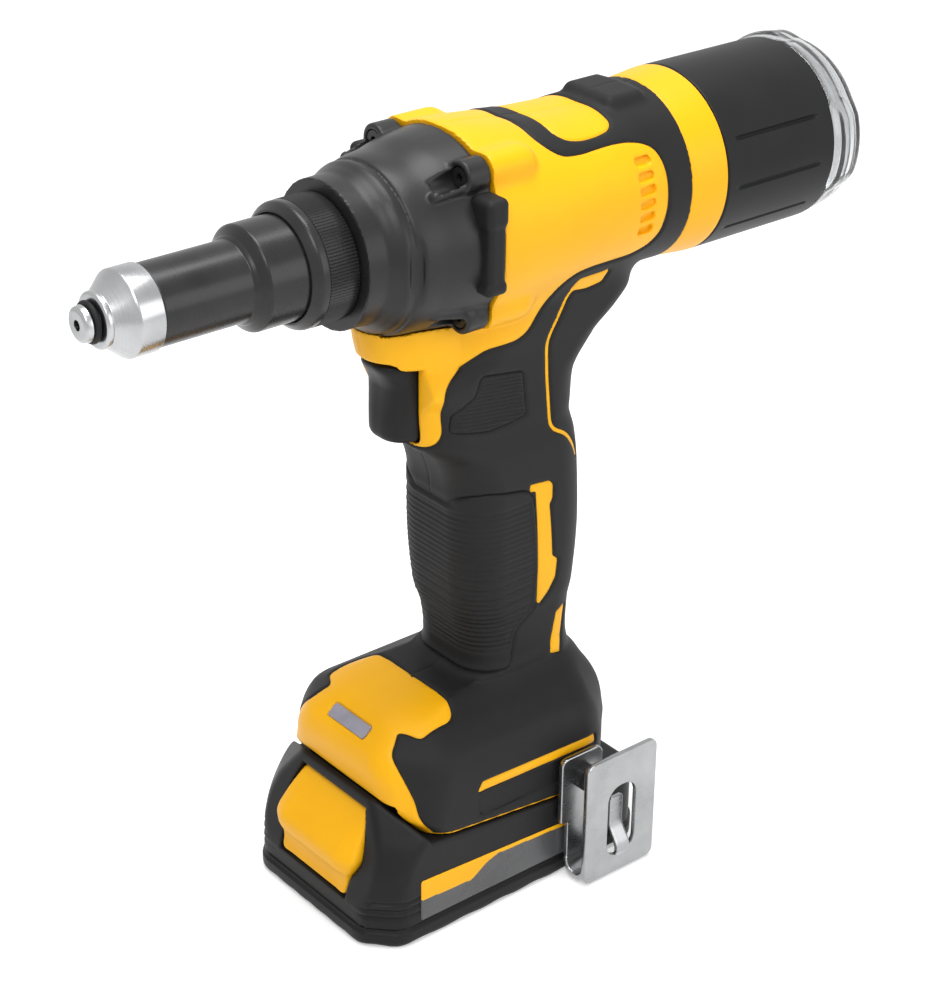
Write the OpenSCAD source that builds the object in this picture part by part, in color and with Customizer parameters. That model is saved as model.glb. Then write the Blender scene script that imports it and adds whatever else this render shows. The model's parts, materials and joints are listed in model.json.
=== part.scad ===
// Battery rivet tool: nose towards -X, jar towards +X, standing on the battery underside at Z = 0
/* [Overall] */
// Height of the barrel axis above the battery underside
axis_h = 230; // [226:1:238]
// Free gap between parts that move past each other
gap = 0.4; // [0.3:0.05:0.5]
// Radial play of a running fit
fit = 0.05; // [0.02:0.01:0.08]
// Wall of the moulded housing
wall = 2.6; // [2.2:0.1:3]
// Thickness of the rubber overmould
rubber = 2; // [1.6:0.1:2.2]
/* [Upper body] */
// Width of the upper body
body_w = 66; // [65:1:70]
// Height of the upper body at the gear case
body_h = 63; // [62:1:68]
// Station where the gear case meets the housing
seam_x = -12; // [-14:1:-11]
// Length of the housing from that seam to the tail ring
body_l = 85; // [83:1:92]
// Length of the tail ring
tail_l = 15; // [13:1:18]
/* [Handle] */
// Centre of the handle along the tool
handle_x = 18; // [17:1:20]
// Depth of the handle at the palm
grip_l = 51; // [49:1:54]
// Width of the handle at the palm
grip_w = 43; // [41:1:46]
// Depth of the handle above the foot
neck_l = 43; // [42:1:46]
// Width of the handle above the foot
neck_w = 37; // [36:1:40]
/* [Trigger] */
// Distance of the trigger's lower end below the barrel axis
trigger_drop = 66; // [65:1:68]
// Height of the trigger
trigger_h = 28; // [25:1:29]
// Width of the trigger
trigger_w = 22; // [20:1:25]
// Reach of the trigger in front of the handle centre
trigger_reach = 50; // [49:1:51]
// Travel of the trigger
trigger_travel = 7; // [5:0.5:7]
/* [Foot] */
// Width of the foot
foot_w = 74; // [72:1:75]
// Height of the top of the foot
foot_top = 73; // [72:1:76]
// Front end of the foot
foot_front = -49; // [-50:1:-48]
// Rear end of the foot
foot_rear = 51; // [50:1:53]
/* [Battery] */
// Length of the battery
battery_l = 118; // [118:1:124]
// Width of the battery
battery_w = 76; // [76:0.1:76.6]
// Height of the seam to the foot at the front corner
seam_front_h = 36; // [35.5:0.5:37]
// Height of the seam to the foot at the rear
seam_rear_h = 25.5; // [25:0.5:27]
// Height of the battery's front wall
lip_h = 47; // [46.5:0.5:48]
// Height of the battery's base tray
base_h = 7; // [6:0.5:8]
// Diameter of a battery cell
cell_d = 18.4; // [17.8:0.1:18.6]
// Length of a battery cell
cell_l = 62; // [56:1:62]
// Cells in the pack
cells = 5; // [3:1:5]
/* [Nose] */
// Front face of the gear case
neck_x = -48; // [-50:1:-47]
// Length of the lock collar
collar_l = 16; // [15:1:19]
// Diameter of the lock collar
collar_d = 38.6; // [38:0.2:41]
// Length of the nose housing's shoulder
shoulder_l = 15; // [13:1:18]
// Diameter of the nose housing's shoulder
shoulder_d = 32; // [31.4:0.1:32.2]
// Length of the nose housing's tube
tube_l = 31; // [30:1:36]
// Diameter of the nose housing's tube
tube_d = 24.6; // [24:0.2:27]
// Length of the nose cap
cap_l = 16; // [15:1:18]
// Diameter of the nose cap
cap_d = 26; // [25:0.2:28]
// Length of the nosepiece in front of the cap
tip_l = 7; // [5:0.5:9]
// Diameter of the nosepiece
tip_d = 11; // [10.4:0.2:12]
// Bore of the nosepiece
mandrel_d = 3.2; // [2.4:0.1:3.4]
// Travel of the nose as it unscrews
nose_travel = 9; // [9:0.5:11]
/* [Pulling head] */
// Diameter of the jaw case
jaw_case_d = 20; // [19.6:0.1:20.2]
// Diameter of the ball screw
screw_d = 16; // [15:0.2:16]
// Pulling stroke
stroke = 25; // [20:1:25]
// Diameter of the ball nut
nut_d = 28; // [27:0.5:29]
/* [Gears and motor] */
// Gear module
gear_m = 1; // [0.98:0.01:1.02]
// Face width of the gears
gear_w = 10; // [8:0.5:10.5]
// Diameter of the stator
stator_d = 45; // [43:0.5:45.4]
// Length of the stator
stator_l = 20; // [17:1:21]
// Diameter of the rotor
rotor_d = 23; // [21:0.5:24]
// Diameter of the rotor shaft
shaft_d = 10; // [9.6:0.1:10.4]
// Outer diameter of the mandrel tube
guide_d = 6.4; // [5.8:0.1:6.6]
/* [Jar] */
// Diameter of the jar and the tail ring
jar_d = 61; // [60:0.5:64]
// Length of the jar body
jar_l = 48; // [44:1:56]
// Length of the clear jar end
jar_end_l = 17; // [15:1:20]
// Travel of the jar as it unscrews
jar_travel = 9; // [9:0.5:11]
/* [Belt hook] */
// Thickness of the hook's sheet
hook_t = 2; // [1.6:0.1:2.2]
// Clear space inside the hook
hook_gap = 7.4; // [6.5:0.1:9]
// Height of the hook
hook_h = 47; // [44:1:50]
// Length of the hook's outer plate
hook_l = 31; // [28:1:34]
// Diameter of the hook's screw
hook_screw_d = 4; // [3:0.5:5]

/* [Hidden] */

// Colours of the object
yellow = [0.99, 0.76, 0.1];
charcoal = [0.2, 0.2, 0.21];
rubber_black = [0.13, 0.13, 0.14];
silver = [0.78, 0.79, 0.8];
steel = [0.55, 0.56, 0.58];
copper = [0.72, 0.42, 0.22];
board_green = [0.12, 0.35, 0.2];

round_fn = 64;
hull_fn = 24;
ring_steps = 4;
sliver = 0.2;
over = 1;

// Stations along the barrel axis
collar_x = neck_x - collar_l;
shoulder_x = collar_x - shoulder_l;
tube_x = shoulder_x - tube_l;
cap_x = tube_x - cap_l;
tip_x = cap_x - tip_l;
gear_x = seam_x + 9;
gear_end = gear_x + gear_w;
front_plate_x = gear_end + 3;
plate_t = 7;
stator_x = front_plate_x + plate_t + 7;
stator_end = stator_x + stator_l;
fan_x = stator_end + 5;
fan_l = 5;
rear_plate_x = fan_x + fan_l + 2;
rear_plate_t = 6;
tail_x = seam_x + body_l;
jar_x = tail_x + tail_l;
jar_end_x = jar_x + jar_l;

// Moulded shell, half sizes
body_hw = body_w / 2;
body_hh = body_h / 2;
skin = rubber + wall;
rib_t = 2;
foot_hw = foot_w / 2;
tail_r = jar_d / 2;

// Nose and pulling head
collar_r = collar_d / 2;
shoulder_r = shoulder_d / 2;
lip_r = shoulder_r + gap;
flange_r = shoulder_r + 1.3;
thread_r = flange_r + gap;
spigot_l = nose_travel - 1;
lip_l = 4;
flange_l = collar_l - lip_l - spigot_l - 2 * gap;
jaw_r = jaw_case_d / 2;
nose_bore_r = jaw_r + gap;
screw_r = screw_d / 2;
screw_bore_r = guide_d / 2 + gap;
jaw_case_front = tube_x - 2;
cone_l = 16;
cone_front_r = 5.2;
cone_rear_r = jaw_r - 1.8;
cone_angle = atan((cone_rear_r - cone_front_r) / cone_l);
cone_end = jaw_case_front + cone_l;
screw_x = cone_end + 18;
spring_end = screw_x - 8;
jaw_x = jaw_case_front + 7.4;
jaw_l = cone_end - jaw_x + 1;
pusher_x = jaw_x + jaw_l + gap;
pusher_l = 2.6;
jaw_play = 0.8;

// Drive
pressure = 25;
sun_teeth = 15;
planet_teeth = 15;
ring_teeth = sun_teeth + 2 * planet_teeth;
backlash = 0.16;
orbit = gear_m * (sun_teeth + planet_teeth) / 2;
pin_r = 2.5;
nut_r = nut_d / 2;
nut_front = neck_x + 8;
nut_end = seam_x + 4;
screw_end = nut_end - gap - stroke;
carrier_t = 4;
carrier_r = orbit + pin_r + 1.5;
carrier_end = nut_end + carrier_t;
shaft_r = shaft_d / 2;
motor_r = stator_d / 2;
guide_r = guide_d / 2;
ring_r = gear_m * ring_teeth / 2 + 3.5;
bearing_r = 11;
case_spigot_r = ring_r + 1.2;
nut_bearing_r = nut_r + 7;
nut_bearing_l = 6;
case_wall_x = neck_x + 4;
case_low_z = axis_h - body_hh + 8;

// Gear case lugs and their screws
lug_y = body_hw - 12.5;
lug_z = body_hh - 9.5;
lug_r = 5.2;
lug_x = seam_x - 1.5;
lug_l = 11;
lug_end = lug_x + lug_l;
lug_screw_r = 1.8;
lug_head_r = 3.2;
lug_head_l = 3;
lug_screw_in = 11;
lug_screw_l = lug_l + lug_screw_in;
lug_boss_l = 15;

// Side pads over the seam
pad_t = 2;
pad_deep = 14;
pad_y = body_hw + 2 - pad_deep;

// Handle stations between foot and barrel
trigger_z = axis_h - trigger_drop;
trigger_x = handle_x - trigger_reach;
guard_x = trigger_x + 9;
trigger_r = 8;
switch_x = trigger_x + 20;
switch_l = 26;
switch_w = 22;
switch_bore_r = 4.4;
stem_r = 3.6;
stem_end = switch_x + 3;
board_x = handle_x - 11;
board_t = 12;
board_w = 25;
board_z = foot_top + 4;
board_h = 36;
chip_hw = 10;
chip_h = 5;
lead_in = 12;
lead_out = board_h - 4;

// Battery rails and the channel in the foot
channel_top = lip_h + 5;
channel_end = foot_rear - 5;
rail_hw = 26.5;
rail_neck_hw = 20.5;
rail_z = lip_h - 6;
rail_top = lip_h;
rail_end = channel_end - 6.5;
battery_hl = battery_l / 2;
battery_hw = battery_w / 2;
battery_wall = 2.6;
chamfer = 10;
front_hw = battery_hw - 7;
corner_lean = 0.544;
lip_x = foot_front + 4;
corner_x = foot_front + 13;
cell_pitch = cell_d + 0.6;
cell_z = battery_wall + 0.2 + cell_d / 2;
cells_x = 8;
case_screw_r = 1.3;
case_head_r = 2;
pocket_z = base_h + 6.4;
pocket_top = lip_h - 3.5;
latch_w = 37;
latch_top_w = 31;
latch_t = 3;
latch_pin_r = 1.6;
latch_pin_x = -battery_hl + 5;
latch_pin_z = pocket_z + 3.4;
latch_spring_z = pocket_top - 12;
latch_spring_r = 2.6;
latch_spring_wire = 0.4;
latch_spring_l = 5.2;
pack_board_hw = 16.6;
pack_board_t = 1.4;
pack_board_z = rail_z - 11.9;
pack_board_x = corner_x + 14.2;
pack_board_end = rail_end - 3.2;
board_play = 0.2;
front_slope = (lip_x - 2 + battery_hl) / (lip_h - base_h - 6);

// Belt hook
hook_x = 16;
hook_leg_l = 18;
hook_plate_x = 19;
hook_y = -(battery_hw + 0.6);
hook_low = 1.2;
hook_bend_r = hook_gap / 2 + hook_t;
hook_screw_x = hook_x + hook_leg_l / 2 + 0.8;
hook_screw_z = seam_front_h + 2;
hook_boss_r = 7;
hook_screw_r = hook_screw_d / 2;
insert_r = hook_screw_r + 1.6;
insert_l = 8;

// Jar
jar_wall = 2.4;
socket_r = tail_r - jar_wall - gap;
socket_l = jar_travel;
socket_x = tail_x + sliver;
socket_bore_r = socket_r - 3;
socket_spigot_r = tail_r - skin - 2.1;
seal_x = jar_x + socket_l + gap;
seal_t = 1.6;

// Light window in the foot panel
window_w = 18;
window_l = 5.6;
window_x = foot_front + 7.6;

function up(dz) = axis_h + dz;
function front_x(z) = -battery_hl + 1 + front_slope * (z - base_h - 6);

// Points of a rounded rectangle of half sizes hx and hy
function ring(hx, hy, r) = let (q = min(r, hx, hy)) [
    for (k = [0:3], i = [0:ring_steps])
        let (a = 90 * (k + i / ring_steps), sx = k == 0 || k == 3 ? 1 : -1, sy = k < 2 ? 1 : -1)
            [sx * (hx - q) + q * cos(a), sy * (hy - q) + q * sin(a)]
];

// Stations drawn in by d on every side: [height, centre, half depth, half width, corner radius]
function drawn_in(stations, d) = [for (s = stations) [s[0], s[1], s[2] - d, s[3] - d, max(s[4] - d, 1)]];

body_stations = [
    [seam_x, 0, body_hh - 0.3, body_hw - 0.6, body_hh - 0.7],
    [seam_x + 16, 0, body_hh - 0.7, body_hw - 0.6, body_hh - 1.1],
    [seam_x + 38, 0, body_hh - 3.7, body_hw - 1.5, body_hh - 4.1],
    [tail_x - 27, 0, body_hh - 4.5, body_hw - 2.6, body_hh - 4.9],
    [tail_x - 13, 0, tail_r - 2.3, tail_r - 1.2, tail_r - 2.9],
    [tail_x, 0, tail_r - 1.5, tail_r - 1.5, tail_r]
];

palm_z = (foot_top + trigger_z) / 2 + 7;
handle_stations = [
    [foot_top - 9, handle_x + 2, neck_l / 2 + 2, neck_w / 2 + 1, 12],
    [foot_top + 5, handle_x + 1.7, neck_l / 2, neck_w / 2, 12],
    [palm_z - 25, handle_x + 0.4, grip_l / 2 - 1.5, grip_w / 2 - 1.3, 13],
    [palm_z, handle_x, grip_l / 2, grip_w / 2, 14],
    [trigger_z - 21, handle_x - 0.3, grip_l / 2 - 0.2, grip_w / 2 - 0.5, 14],
    [trigger_z - 10, handle_x - 2.6, grip_l / 2 + 0.9, grip_w / 2 - 1, 14],
    [trigger_z - 1, handle_x - 8.3, grip_l / 2 + 5.1, grip_w / 2 - 2, 14],
    [trigger_z + 11, handle_x - 8.6, grip_l / 2 + 6.9, grip_w / 2 - 2.5, 14],
    [trigger_z + 23, handle_x - 7.8, grip_l / 2 + 14.7, grip_w / 2 - 2, 15],
    [trigger_z + 36, handle_x - 4.5, grip_l / 2 + 25, grip_w / 2 + 1, 16],
    [trigger_z + 46, handle_x - 4, grip_l / 2 + 24.5, grip_w / 2 + 4, 18]
];

foot_mid = (foot_front + foot_rear) / 2;
foot_half = (foot_rear - foot_front) / 2;
foot_corner_r = 22;
foot_stations = [
    [seam_rear_h - over, foot_mid + 7, foot_half - 7, foot_hw - 0.5, foot_corner_r - 2],
    [seam_front_h, foot_mid + 6.5, foot_half - 6.5, foot_hw - 0.3, foot_corner_r - 1],
    [lip_h + 2, foot_mid + 2, foot_half - 2, foot_hw, foot_corner_r],
    [foot_top - 11, foot_mid + 1, foot_half - 2.5, foot_hw - 2, foot_corner_r],
    [foot_top - 6, foot_mid + 2, foot_half - 6, foot_hw - 7, foot_corner_r],
    [foot_top - 2, foot_mid + 2, foot_half - 10, foot_hw - 13, 18],
    [foot_top, foot_mid + 8, foot_half - 20, foot_hw - 17, 14]
];

// Side outline of the rubber overmould, front to back along its upper edge
grip_outline = [
    [-80, 10], [-80, foot_top + 2], [guard_x - 4, trigger_z - 14], [guard_x - 4, trigger_z + 4.7],
    [guard_x - 0.8, trigger_z + 10.3], [guard_x + 1, trigger_z + 22.4], [guard_x + 9.2, trigger_z + 24.8],
    [guard_x + 21.6, trigger_z + 31.6], [guard_x + 32.7, trigger_z + 30.8],
    [guard_x + 42.6, trigger_z + 37.2], [guard_x + 54.6, trigger_z + 44],
    [guard_x + 65, trigger_z + 45.7], [tail_x - 14, up(-20)],
    [tail_x - 11.5, up(2)], [tail_x - 15, up(16)], [tail_x - 24, up(24)], [tail_x - 35, up(22.5)],
    [tail_x - 43, up(26)], [tail_x - 54, up(32)], [tail_x - 54, up(60)], [tail_x + 1, up(60)],
    [tail_x + 1, 10]
];

// Side outline of the battery above its base tray
battery_outline = [
    [-battery_hl + 1, base_h], [-battery_hl + 1, base_h + 6], [lip_x - 2, lip_h], [lip_x, lip_h],
    [corner_x, seam_front_h], [battery_hl, seam_rear_h], [battery_hl, base_h]
];

// Plan outline of the battery, grown by d
function battery_plan(d) = [
    [-battery_hl - d, chamfer - battery_hw], [chamfer - battery_hl, -battery_hw - d],
    [battery_hl - 9, -battery_hw - d], [battery_hl + d, 9 - battery_hw],
    [battery_hl + d, battery_hw - 9], [battery_hl - 9, battery_hw + d],
    [chamfer - battery_hl, battery_hw + d], [-battery_hl - d, battery_hw - chamfer]
];

// Z of the children runs along the barrel axis, rearwards, and their X points down
module on_axis(x = 0) {
    translate([x, 0, axis_h]) rotate([0, 90, 0]) children();
}

// Z of the children runs towards +Y
module along_y(x, y, z) {
    translate([x, y, z]) rotate([-90, 0, 0]) children();
}

module tube(a, b, outer, inner) {
    on_axis(a) difference() {
        cylinder(r = outer, h = b - a, $fn = round_fn);
        translate([0, 0, -over]) cylinder(r = inner, h = b - a + 2 * over, $fn = round_fn);
    }
}

// A turned part: outline is a list of [station, radius], closed along the given bore
module turned(outline, bore) {
    last = len(outline) - 1;
    on_axis() rotate_extrude($fn = round_fn) polygon(concat(
        [[bore, outline[0][0]]], [for (p = outline) [p[1], p[0]]], [[bore, outline[last][0]]]
    ));
}

// A flat outline in X and Z carried across Y
module across(points, w) {
    translate([0, w / 2, 0]) rotate([90, 0, 0]) linear_extrude(w) polygon(points);
}

module block(low, high) {
    translate(low) cube(high - low);
}

module slab(s) {
    translate([s[1], 0, s[0]]) linear_extrude(sliver) polygon(ring(s[2], s[3], s[4]));
}

module loft(stations) {
    for (i = [0:len(stations) - 2]) hull() {
        slab(stations[i]);
        slab(stations[i + 1]);
    }
}

// A round wire carried along points, with square ends
function ahead(p, i) = p[min(i + 1, len(p) - 1)] - p[max(i - 1, 0)];
module wire(points, r, sides = 8, side_hint = [0.3, 1, 0.2]) {
    n = len(points);
    rings = [for (i = [0:n - 1]) let (t = ahead(points, i) / norm(ahead(points, i)), u0 = cross(t, side_hint),
        u = u0 / norm(u0), v = cross(t, u), c = points[i])
        for (k = [0:sides - 1]) c + r * (cos(360 * k / sides) * u + sin(360 * k / sides) * v)];
    skin_faces = [for (i = [0:n - 2], k = [0:sides - 1])
        let (a = i * sides + k, b = i * sides + (k + 1) % sides) each
        [[a, b, a + sides], [b, b + sides, a + sides]]];
    polyhedron(rings, concat([[for (k = [sides - 1:-1:0]) k]], skin_faces,
        [[for (k = [0:sides - 1]) (n - 1) * sides + k]]));
}

// A coil spring along +X from station a to b, about the line through y and z
module coil(a, b, y, z, r, wire_r, turns) {
    steps = 10 * turns;
    low = a + wire_r;
    high = b - wire_r;
    wire([for (i = [0:steps]) let (t = i / steps, w = 360 * turns * t)
        [low + (high - low) * t, y + r * cos(w), z + r * sin(w)]], wire_r, 6, [1, 0, 0]);
}

// Involute gear outline, with root and tip radii and each flank thinned by slack
function inv(a) = tan(a) * 180 / PI - a;
function flank(r, rp, n, slack) = 90 / n - slack * 180 / (PI * rp) + inv(pressure)
    - inv(acos(min(1, rp * cos(pressure) / r)));
function gear_outline(n, root, tip, slack) =
    let (rp = gear_m * n / 2, radii = [root, rp, (rp + tip) / 2, tip]) [
    for (i = [0:n - 1], s = [-1, 1], j = [0:3])
        let (r = s < 0 ? radii[j] : radii[3 - j], a = 360 * i / n + s * flank(r, rp, n, slack))
            [r * cos(a), r * sin(a)]
];
module gear(n, w) {
    linear_extrude(w) polygon(gear_outline(n, gear_m * (n / 2 - 1), gear_m * (n / 2 + 0.8), backlash));
}

module half_space(side) {
    translate([-150, side > 0 ? 0 : -100, -10]) cube([350, 100, 320]);
}

// Outer form of the housing, drawn in by d
module shell(d, ends = 0) {
    stations = drawn_in(body_stations, d);
    last = len(stations) - 1;
    on_axis() loft([for (i = [0:last]) let (s = stations[i])
        [s[0] + (i == 0 ? -ends : i == last ? ends : 0), s[1], s[2], s[3], s[4]]]);
    loft(drawn_in(handle_stations, d));
    loft(drawn_in(foot_stations, d));
}

// Raised thumb rest on top, over the rubber band
module thumb_rest() {
    hull() {
        translate([tail_x - 20, -11, up(20)]) cube([16, 22, 5]);
        translate([tail_x - 14, -9, up(20)]) cube([9, 18, tail_r - 20.2]);
    }
}

module gear_case_flare(d) {
    hull() {
        on_axis(neck_x + 7) cylinder(r = 23 + d, h = sliver, $fn = hull_fn * 2);
        on_axis() slab([neck_x + 17, 1.2, 26.8 + d, 26.6 + d, 26.4 + d]);
    }
    hull() {
        on_axis() slab([neck_x + 17, 1.2, 26.8 + d, 26.6 + d, 26.4 + d]);
        on_axis() slab([seam_x, 0.5, body_hh - 1.1 + d, body_hw - 2.2 + d, body_hh - 1.5 + d]);
    }
}

module lug_places() {
    for (y = [-lug_y, lug_y], z = [-lug_z, lug_z]) translate([z, y, 0]) children();
}

// Space that the battery's rails take in the foot
module channel() {
    block([-90, -rail_hw - 0.5, seam_front_h], [corner_x + over, rail_hw + 0.5, lip_h + gap]);
    block([corner_x, -rail_hw - 0.5, rail_z - 0.5], [channel_end, rail_hw + 0.5, channel_top]);
    block([-90, -rail_neck_hw - 0.5, 0], [channel_end, rail_neck_hw + 0.5, rail_z]);
    across([[-90, -over], [-90, lip_h + gap], [lip_x + gap, lip_h + gap],
        [corner_x + gap, seam_front_h + gap], [battery_hl + over, seam_rear_h + gap],
        [battery_hl + over, -over]], battery_w + 10);
}

// Supports left standing inside the housing: rings round the motor, shelves round the switch and the board
module ribs() {
    for (x = [front_plate_x + 2, stator_x + 2, stator_end - 4, rear_plate_x + 2])
        tube(x, x + rib_t, body_hw + over, motor_r + fit);
    difference() {
        for (z = [trigger_z + 3, trigger_z + 20])
            block([switch_x, -body_hw, z], [switch_x + switch_l - 2, body_hw, z + rib_t]);
        block([switch_x - over, -switch_w / 2 - fit, 0],
            [switch_x + switch_l + over, switch_w / 2 + fit, axis_h]);
    }
    difference() {
        for (z = [board_z + 6, board_z + board_h - 8])
            block([board_x + 1, -body_hw, z], [board_x + board_t - 1, body_hw, z + rib_t]);
        block([board_x - over, -board_w / 2 - fit, 0],
            [board_x + board_t + over, board_w / 2 + fit, axis_h]);
    }
}

module housing_cavity() {
    difference() {
        difference() {
            shell(skin, over);
            block([-100, -100, 0], [100, 100, channel_top + wall]);
        }
        ribs();
    }
}

module trigger_slot() {
    block([trigger_x - 10, -trigger_w / 2 - gap, trigger_z - gap],
        [switch_x, trigger_w / 2 + gap, trigger_z + trigger_h + gap]);
}

// Room for the motor along the barrel
module motor_room() {
    on_axis(front_plate_x)
        cylinder(r = motor_r + fit, h = rear_plate_x + rear_plate_t - front_plate_x, $fn = round_fn);
}

// Posts for the clamshell screws: [x, height]
posts = [[handle_x + 15, trigger_z - 14], [handle_x + 14, foot_top + 14], [handle_x + 28, trigger_z + 32]];
post_r = 3.4;
post_screw_r = 1.4;
post_head_r = 2.6;
post_screw_y = -8;
post_screw_l = 16;
post_head_l = 2.4;

// Room for the clamshell screws' heads, open to the right
module post_heads() {
    for (p = posts) along_y(p[0], post_screw_y + post_screw_l, p[1])
        cylinder(r = post_head_r + 0.2, h = 60, $fn = hull_fn);
}

module hook_bosses(r, y0) {
    for (s = [-1, 1]) along_y(hook_screw_x, s > 0 ? y0 : hook_y, hook_screw_z)
        cylinder(r = r, h = -hook_y - y0, $fn = round_fn);
}

module panel_zone() {
    hull() {
        block([foot_front - 10, -19.5, foot_top - 14], [foot_front + 34, 19.5, foot_top + 4]);
        block([foot_front - 10, -16, foot_top - 14], [foot_front + 37, 16, foot_top + 4]);
    }
    across([[foot_front - 10, 20], [foot_front - 10, foot_top], [foot_front + 8, foot_top],
        [foot_front + 8.5, lip_h + 6], [corner_x - 1, seam_front_h], [corner_x - 1, 20]], 100);
}

module housing(side) {
    color(yellow) difference() {
        intersection() {
            union() {
                difference() {
                    shell(0);
                    difference() {
                        union() {
                            across(grip_outline, 120);
                            panel_zone();
                        }
                        shell(rubber);
                    }
                    housing_cavity();
                }
                on_axis(lug_end) lug_places()
                    cylinder(r1 = lug_r, r2 = lug_r - 1.5, h = lug_boss_l, $fn = hull_fn);
                for (p = posts) along_y(p[0], -10, p[1]) cylinder(r = post_r, h = 20, $fn = hull_fn);
                intersection() {
                    shell(skin - 0.1);
                    for (p = posts) along_y(p[0], -40, p[1]) cylinder(r = post_r, h = 80, $fn = hull_fn);
                }
                hook_bosses(hook_boss_r, foot_hw - 12);
            }
            half_space(side);
        }
        on_axis(neck_x)
            cylinder(r = case_spigot_r + fit, h = front_plate_x - sliver - neck_x, $fn = round_fn);
        motor_room();
        gear_case_flare(fit);
        on_axis(lug_x - over) lug_places() cylinder(r = lug_r + fit, h = lug_l + over, $fn = round_fn);
        on_axis(lug_x) lug_places() cylinder(r = lug_screw_r, h = lug_screw_l + over, $fn = round_fn);
        block([neck_x, -body_hw, case_low_z], [seam_x, body_hw, axis_h]);
        trigger_slot();
        channel();
        for (p = posts) along_y(p[0], -60, p[1]) cylinder(r = post_screw_r, h = 120, $fn = round_fn);
        post_heads();
        hook_cuts();
        lead_holes();
    }
}
module left_housing() housing(-1);
module right_housing() housing(1);

module hook_cuts() {
    for (s = [-1, 1]) along_y(hook_screw_x, s > 0 ? -hook_y - insert_l - over : hook_y - over, hook_screw_z)
        cylinder(r = insert_r, h = insert_l + 2 * over, $fn = round_fn);
}

module lead_holes() {
    block([handle_x + 14, -9, lip_h], [handle_x + 27, 9, foot_top]);
}

module grip(side) {
    color(rubber_black) difference() {
        intersection() {
            union() {
                difference() {
                    shell(0);
                    shell(rubber - fit);
                }
                difference() {
                    thumb_rest();
                    shell(rubber - fit);
                }
            }
            across(grip_outline, 120);
            half_space(side);
        }
        panel_zone();
        trigger_slot();
        channel();
        on_axis(neck_x) cylinder(r = case_spigot_r, h = seam_x - neck_x, $fn = round_fn);
        motor_room();
        gear_case_flare(gap);
        hook_bosses(hook_boss_r + fit, foot_hw - 12);
        post_heads();
        tube(tail_x - over, jar_x, 60, 1);
    }
}
module left_grip() grip(-1);
module right_grip() grip(1);

module foot_panel() {
    color(yellow) difference() {
        intersection() {
            difference() {
                shell(0);
                shell(rubber - fit);
            }
            panel_zone();
        }
        channel();
        block([handle_x - 26, -30, foot_top - 4], [handle_x + 40, 30, axis_h]);
        window_seat(0);
    }
}

module window_seat(d) {
    translate([window_x, 0, foot_top - 6.5]) rotate([0, -40, 0])
        cube([2 * window_l - 2 * d, window_w - 2 * d, window_l - 2 * d], center = true);
}

module light_window() {
    color([0.72, 0.7, 0.78]) difference() {
        intersection() {
            window_seat(fit);
            shell(0.3);
        }
        shell(rubber);
    }
}

module gear_case() {
    color(charcoal) difference() {
        union() {
            on_axis(neck_x - spigot_l) cylinder(r = thread_r - fit, h = spigot_l + over, $fn = round_fn);
            on_axis(neck_x) cylinder(r = 23, h = 12, $fn = round_fn);
            gear_case_flare(0);
            on_axis(lug_x) lug_places() cylinder(r = lug_r, h = lug_l, $fn = round_fn);
            on_axis(seam_x - 2)
                cylinder(r = case_spigot_r, h = front_plate_x - 2 * sliver - seam_x + 2, $fn = round_fn);
        }
        on_axis(neck_x - spigot_l - over) cylinder(r = nose_bore_r, h = spigot_l + over, $fn = round_fn);
        on_axis(neck_x - over) cylinder(r = screw_r + gap, h = 10, $fn = round_fn);
        on_axis(case_wall_x) cylinder(r = nut_bearing_r - 2, h = 60, $fn = round_fn);
        on_axis(seam_x - 4) cylinder(r = nut_bearing_r, h = 60, $fn = round_fn);
        on_axis(carrier_end) cylinder(r = ring_r, h = 60, $fn = round_fn);
        on_axis(lug_x - over) lug_places() cylinder(r = lug_screw_r, h = lug_screw_l, $fn = round_fn);
        on_axis(lug_x - 9) lug_places()
            cylinder(r = lug_head_r + sliver, h = lug_head_l + 9, $fn = round_fn);
    }
}

module gear_case_screws() {
    color([0.15, 0.15, 0.16]) on_axis(lug_x) lug_places() difference() {
        union() {
            cylinder(r = lug_head_r, h = lug_head_l, $fn = round_fn);
            cylinder(r = lug_screw_r, h = lug_screw_l, $fn = round_fn);
        }
        translate([0, 0, -over]) cylinder(r = 1.5, h = over + 2, $fn = 6);
    }
}

module side_pads() {
    color(rubber_black) difference() {
        intersection() {
            for (s = [-1, 1]) hull() for (z = [-8.5, 14.5], x = [seam_x + 0.8, seam_x + 4])
                translate([x, s > 0 ? pad_y : -pad_y - pad_deep, up(z)]) rotate([-90, 0, 0])
                    cylinder(r = 1.6, h = pad_deep, $fn = hull_fn);
            shell(-pad_t);
        }
        shell(-fit);
    }
}

module tail_ring() {
    color(yellow) turned([[socket_x, tail_r - 1.4], [jar_x - 3, tail_r], [jar_x - gap, tail_r]], socket_r);
}

module jar_socket() {
    color(charcoal) {
        tube(socket_x, jar_x + socket_l, socket_r, socket_bore_r);
        tube(socket_x, socket_x + 2, socket_bore_r + over, guide_r + fit);
        tube(socket_x - 2, socket_x + over, socket_spigot_r, guide_r + fit);
    }
}

module jar_seal() {
    color(rubber_black) tube(seal_x, seal_x + seal_t, socket_r + gap - fit, socket_bore_r);
}

module jar_body() {
    color(charcoal) difference() {
        on_axis(jar_x) cylinder(r = tail_r, h = jar_l, $fn = round_fn);
        on_axis(jar_x - over) cylinder(r = socket_r + gap, h = jar_l + 2 * over, $fn = round_fn);
        for (a = [30:60:330]) on_axis(jar_x + 8) rotate(a) translate([tail_r, 0, 0])
            cylinder(r = 0.9, h = jar_l - 16, $fn = round_fn);
    }
}

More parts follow.
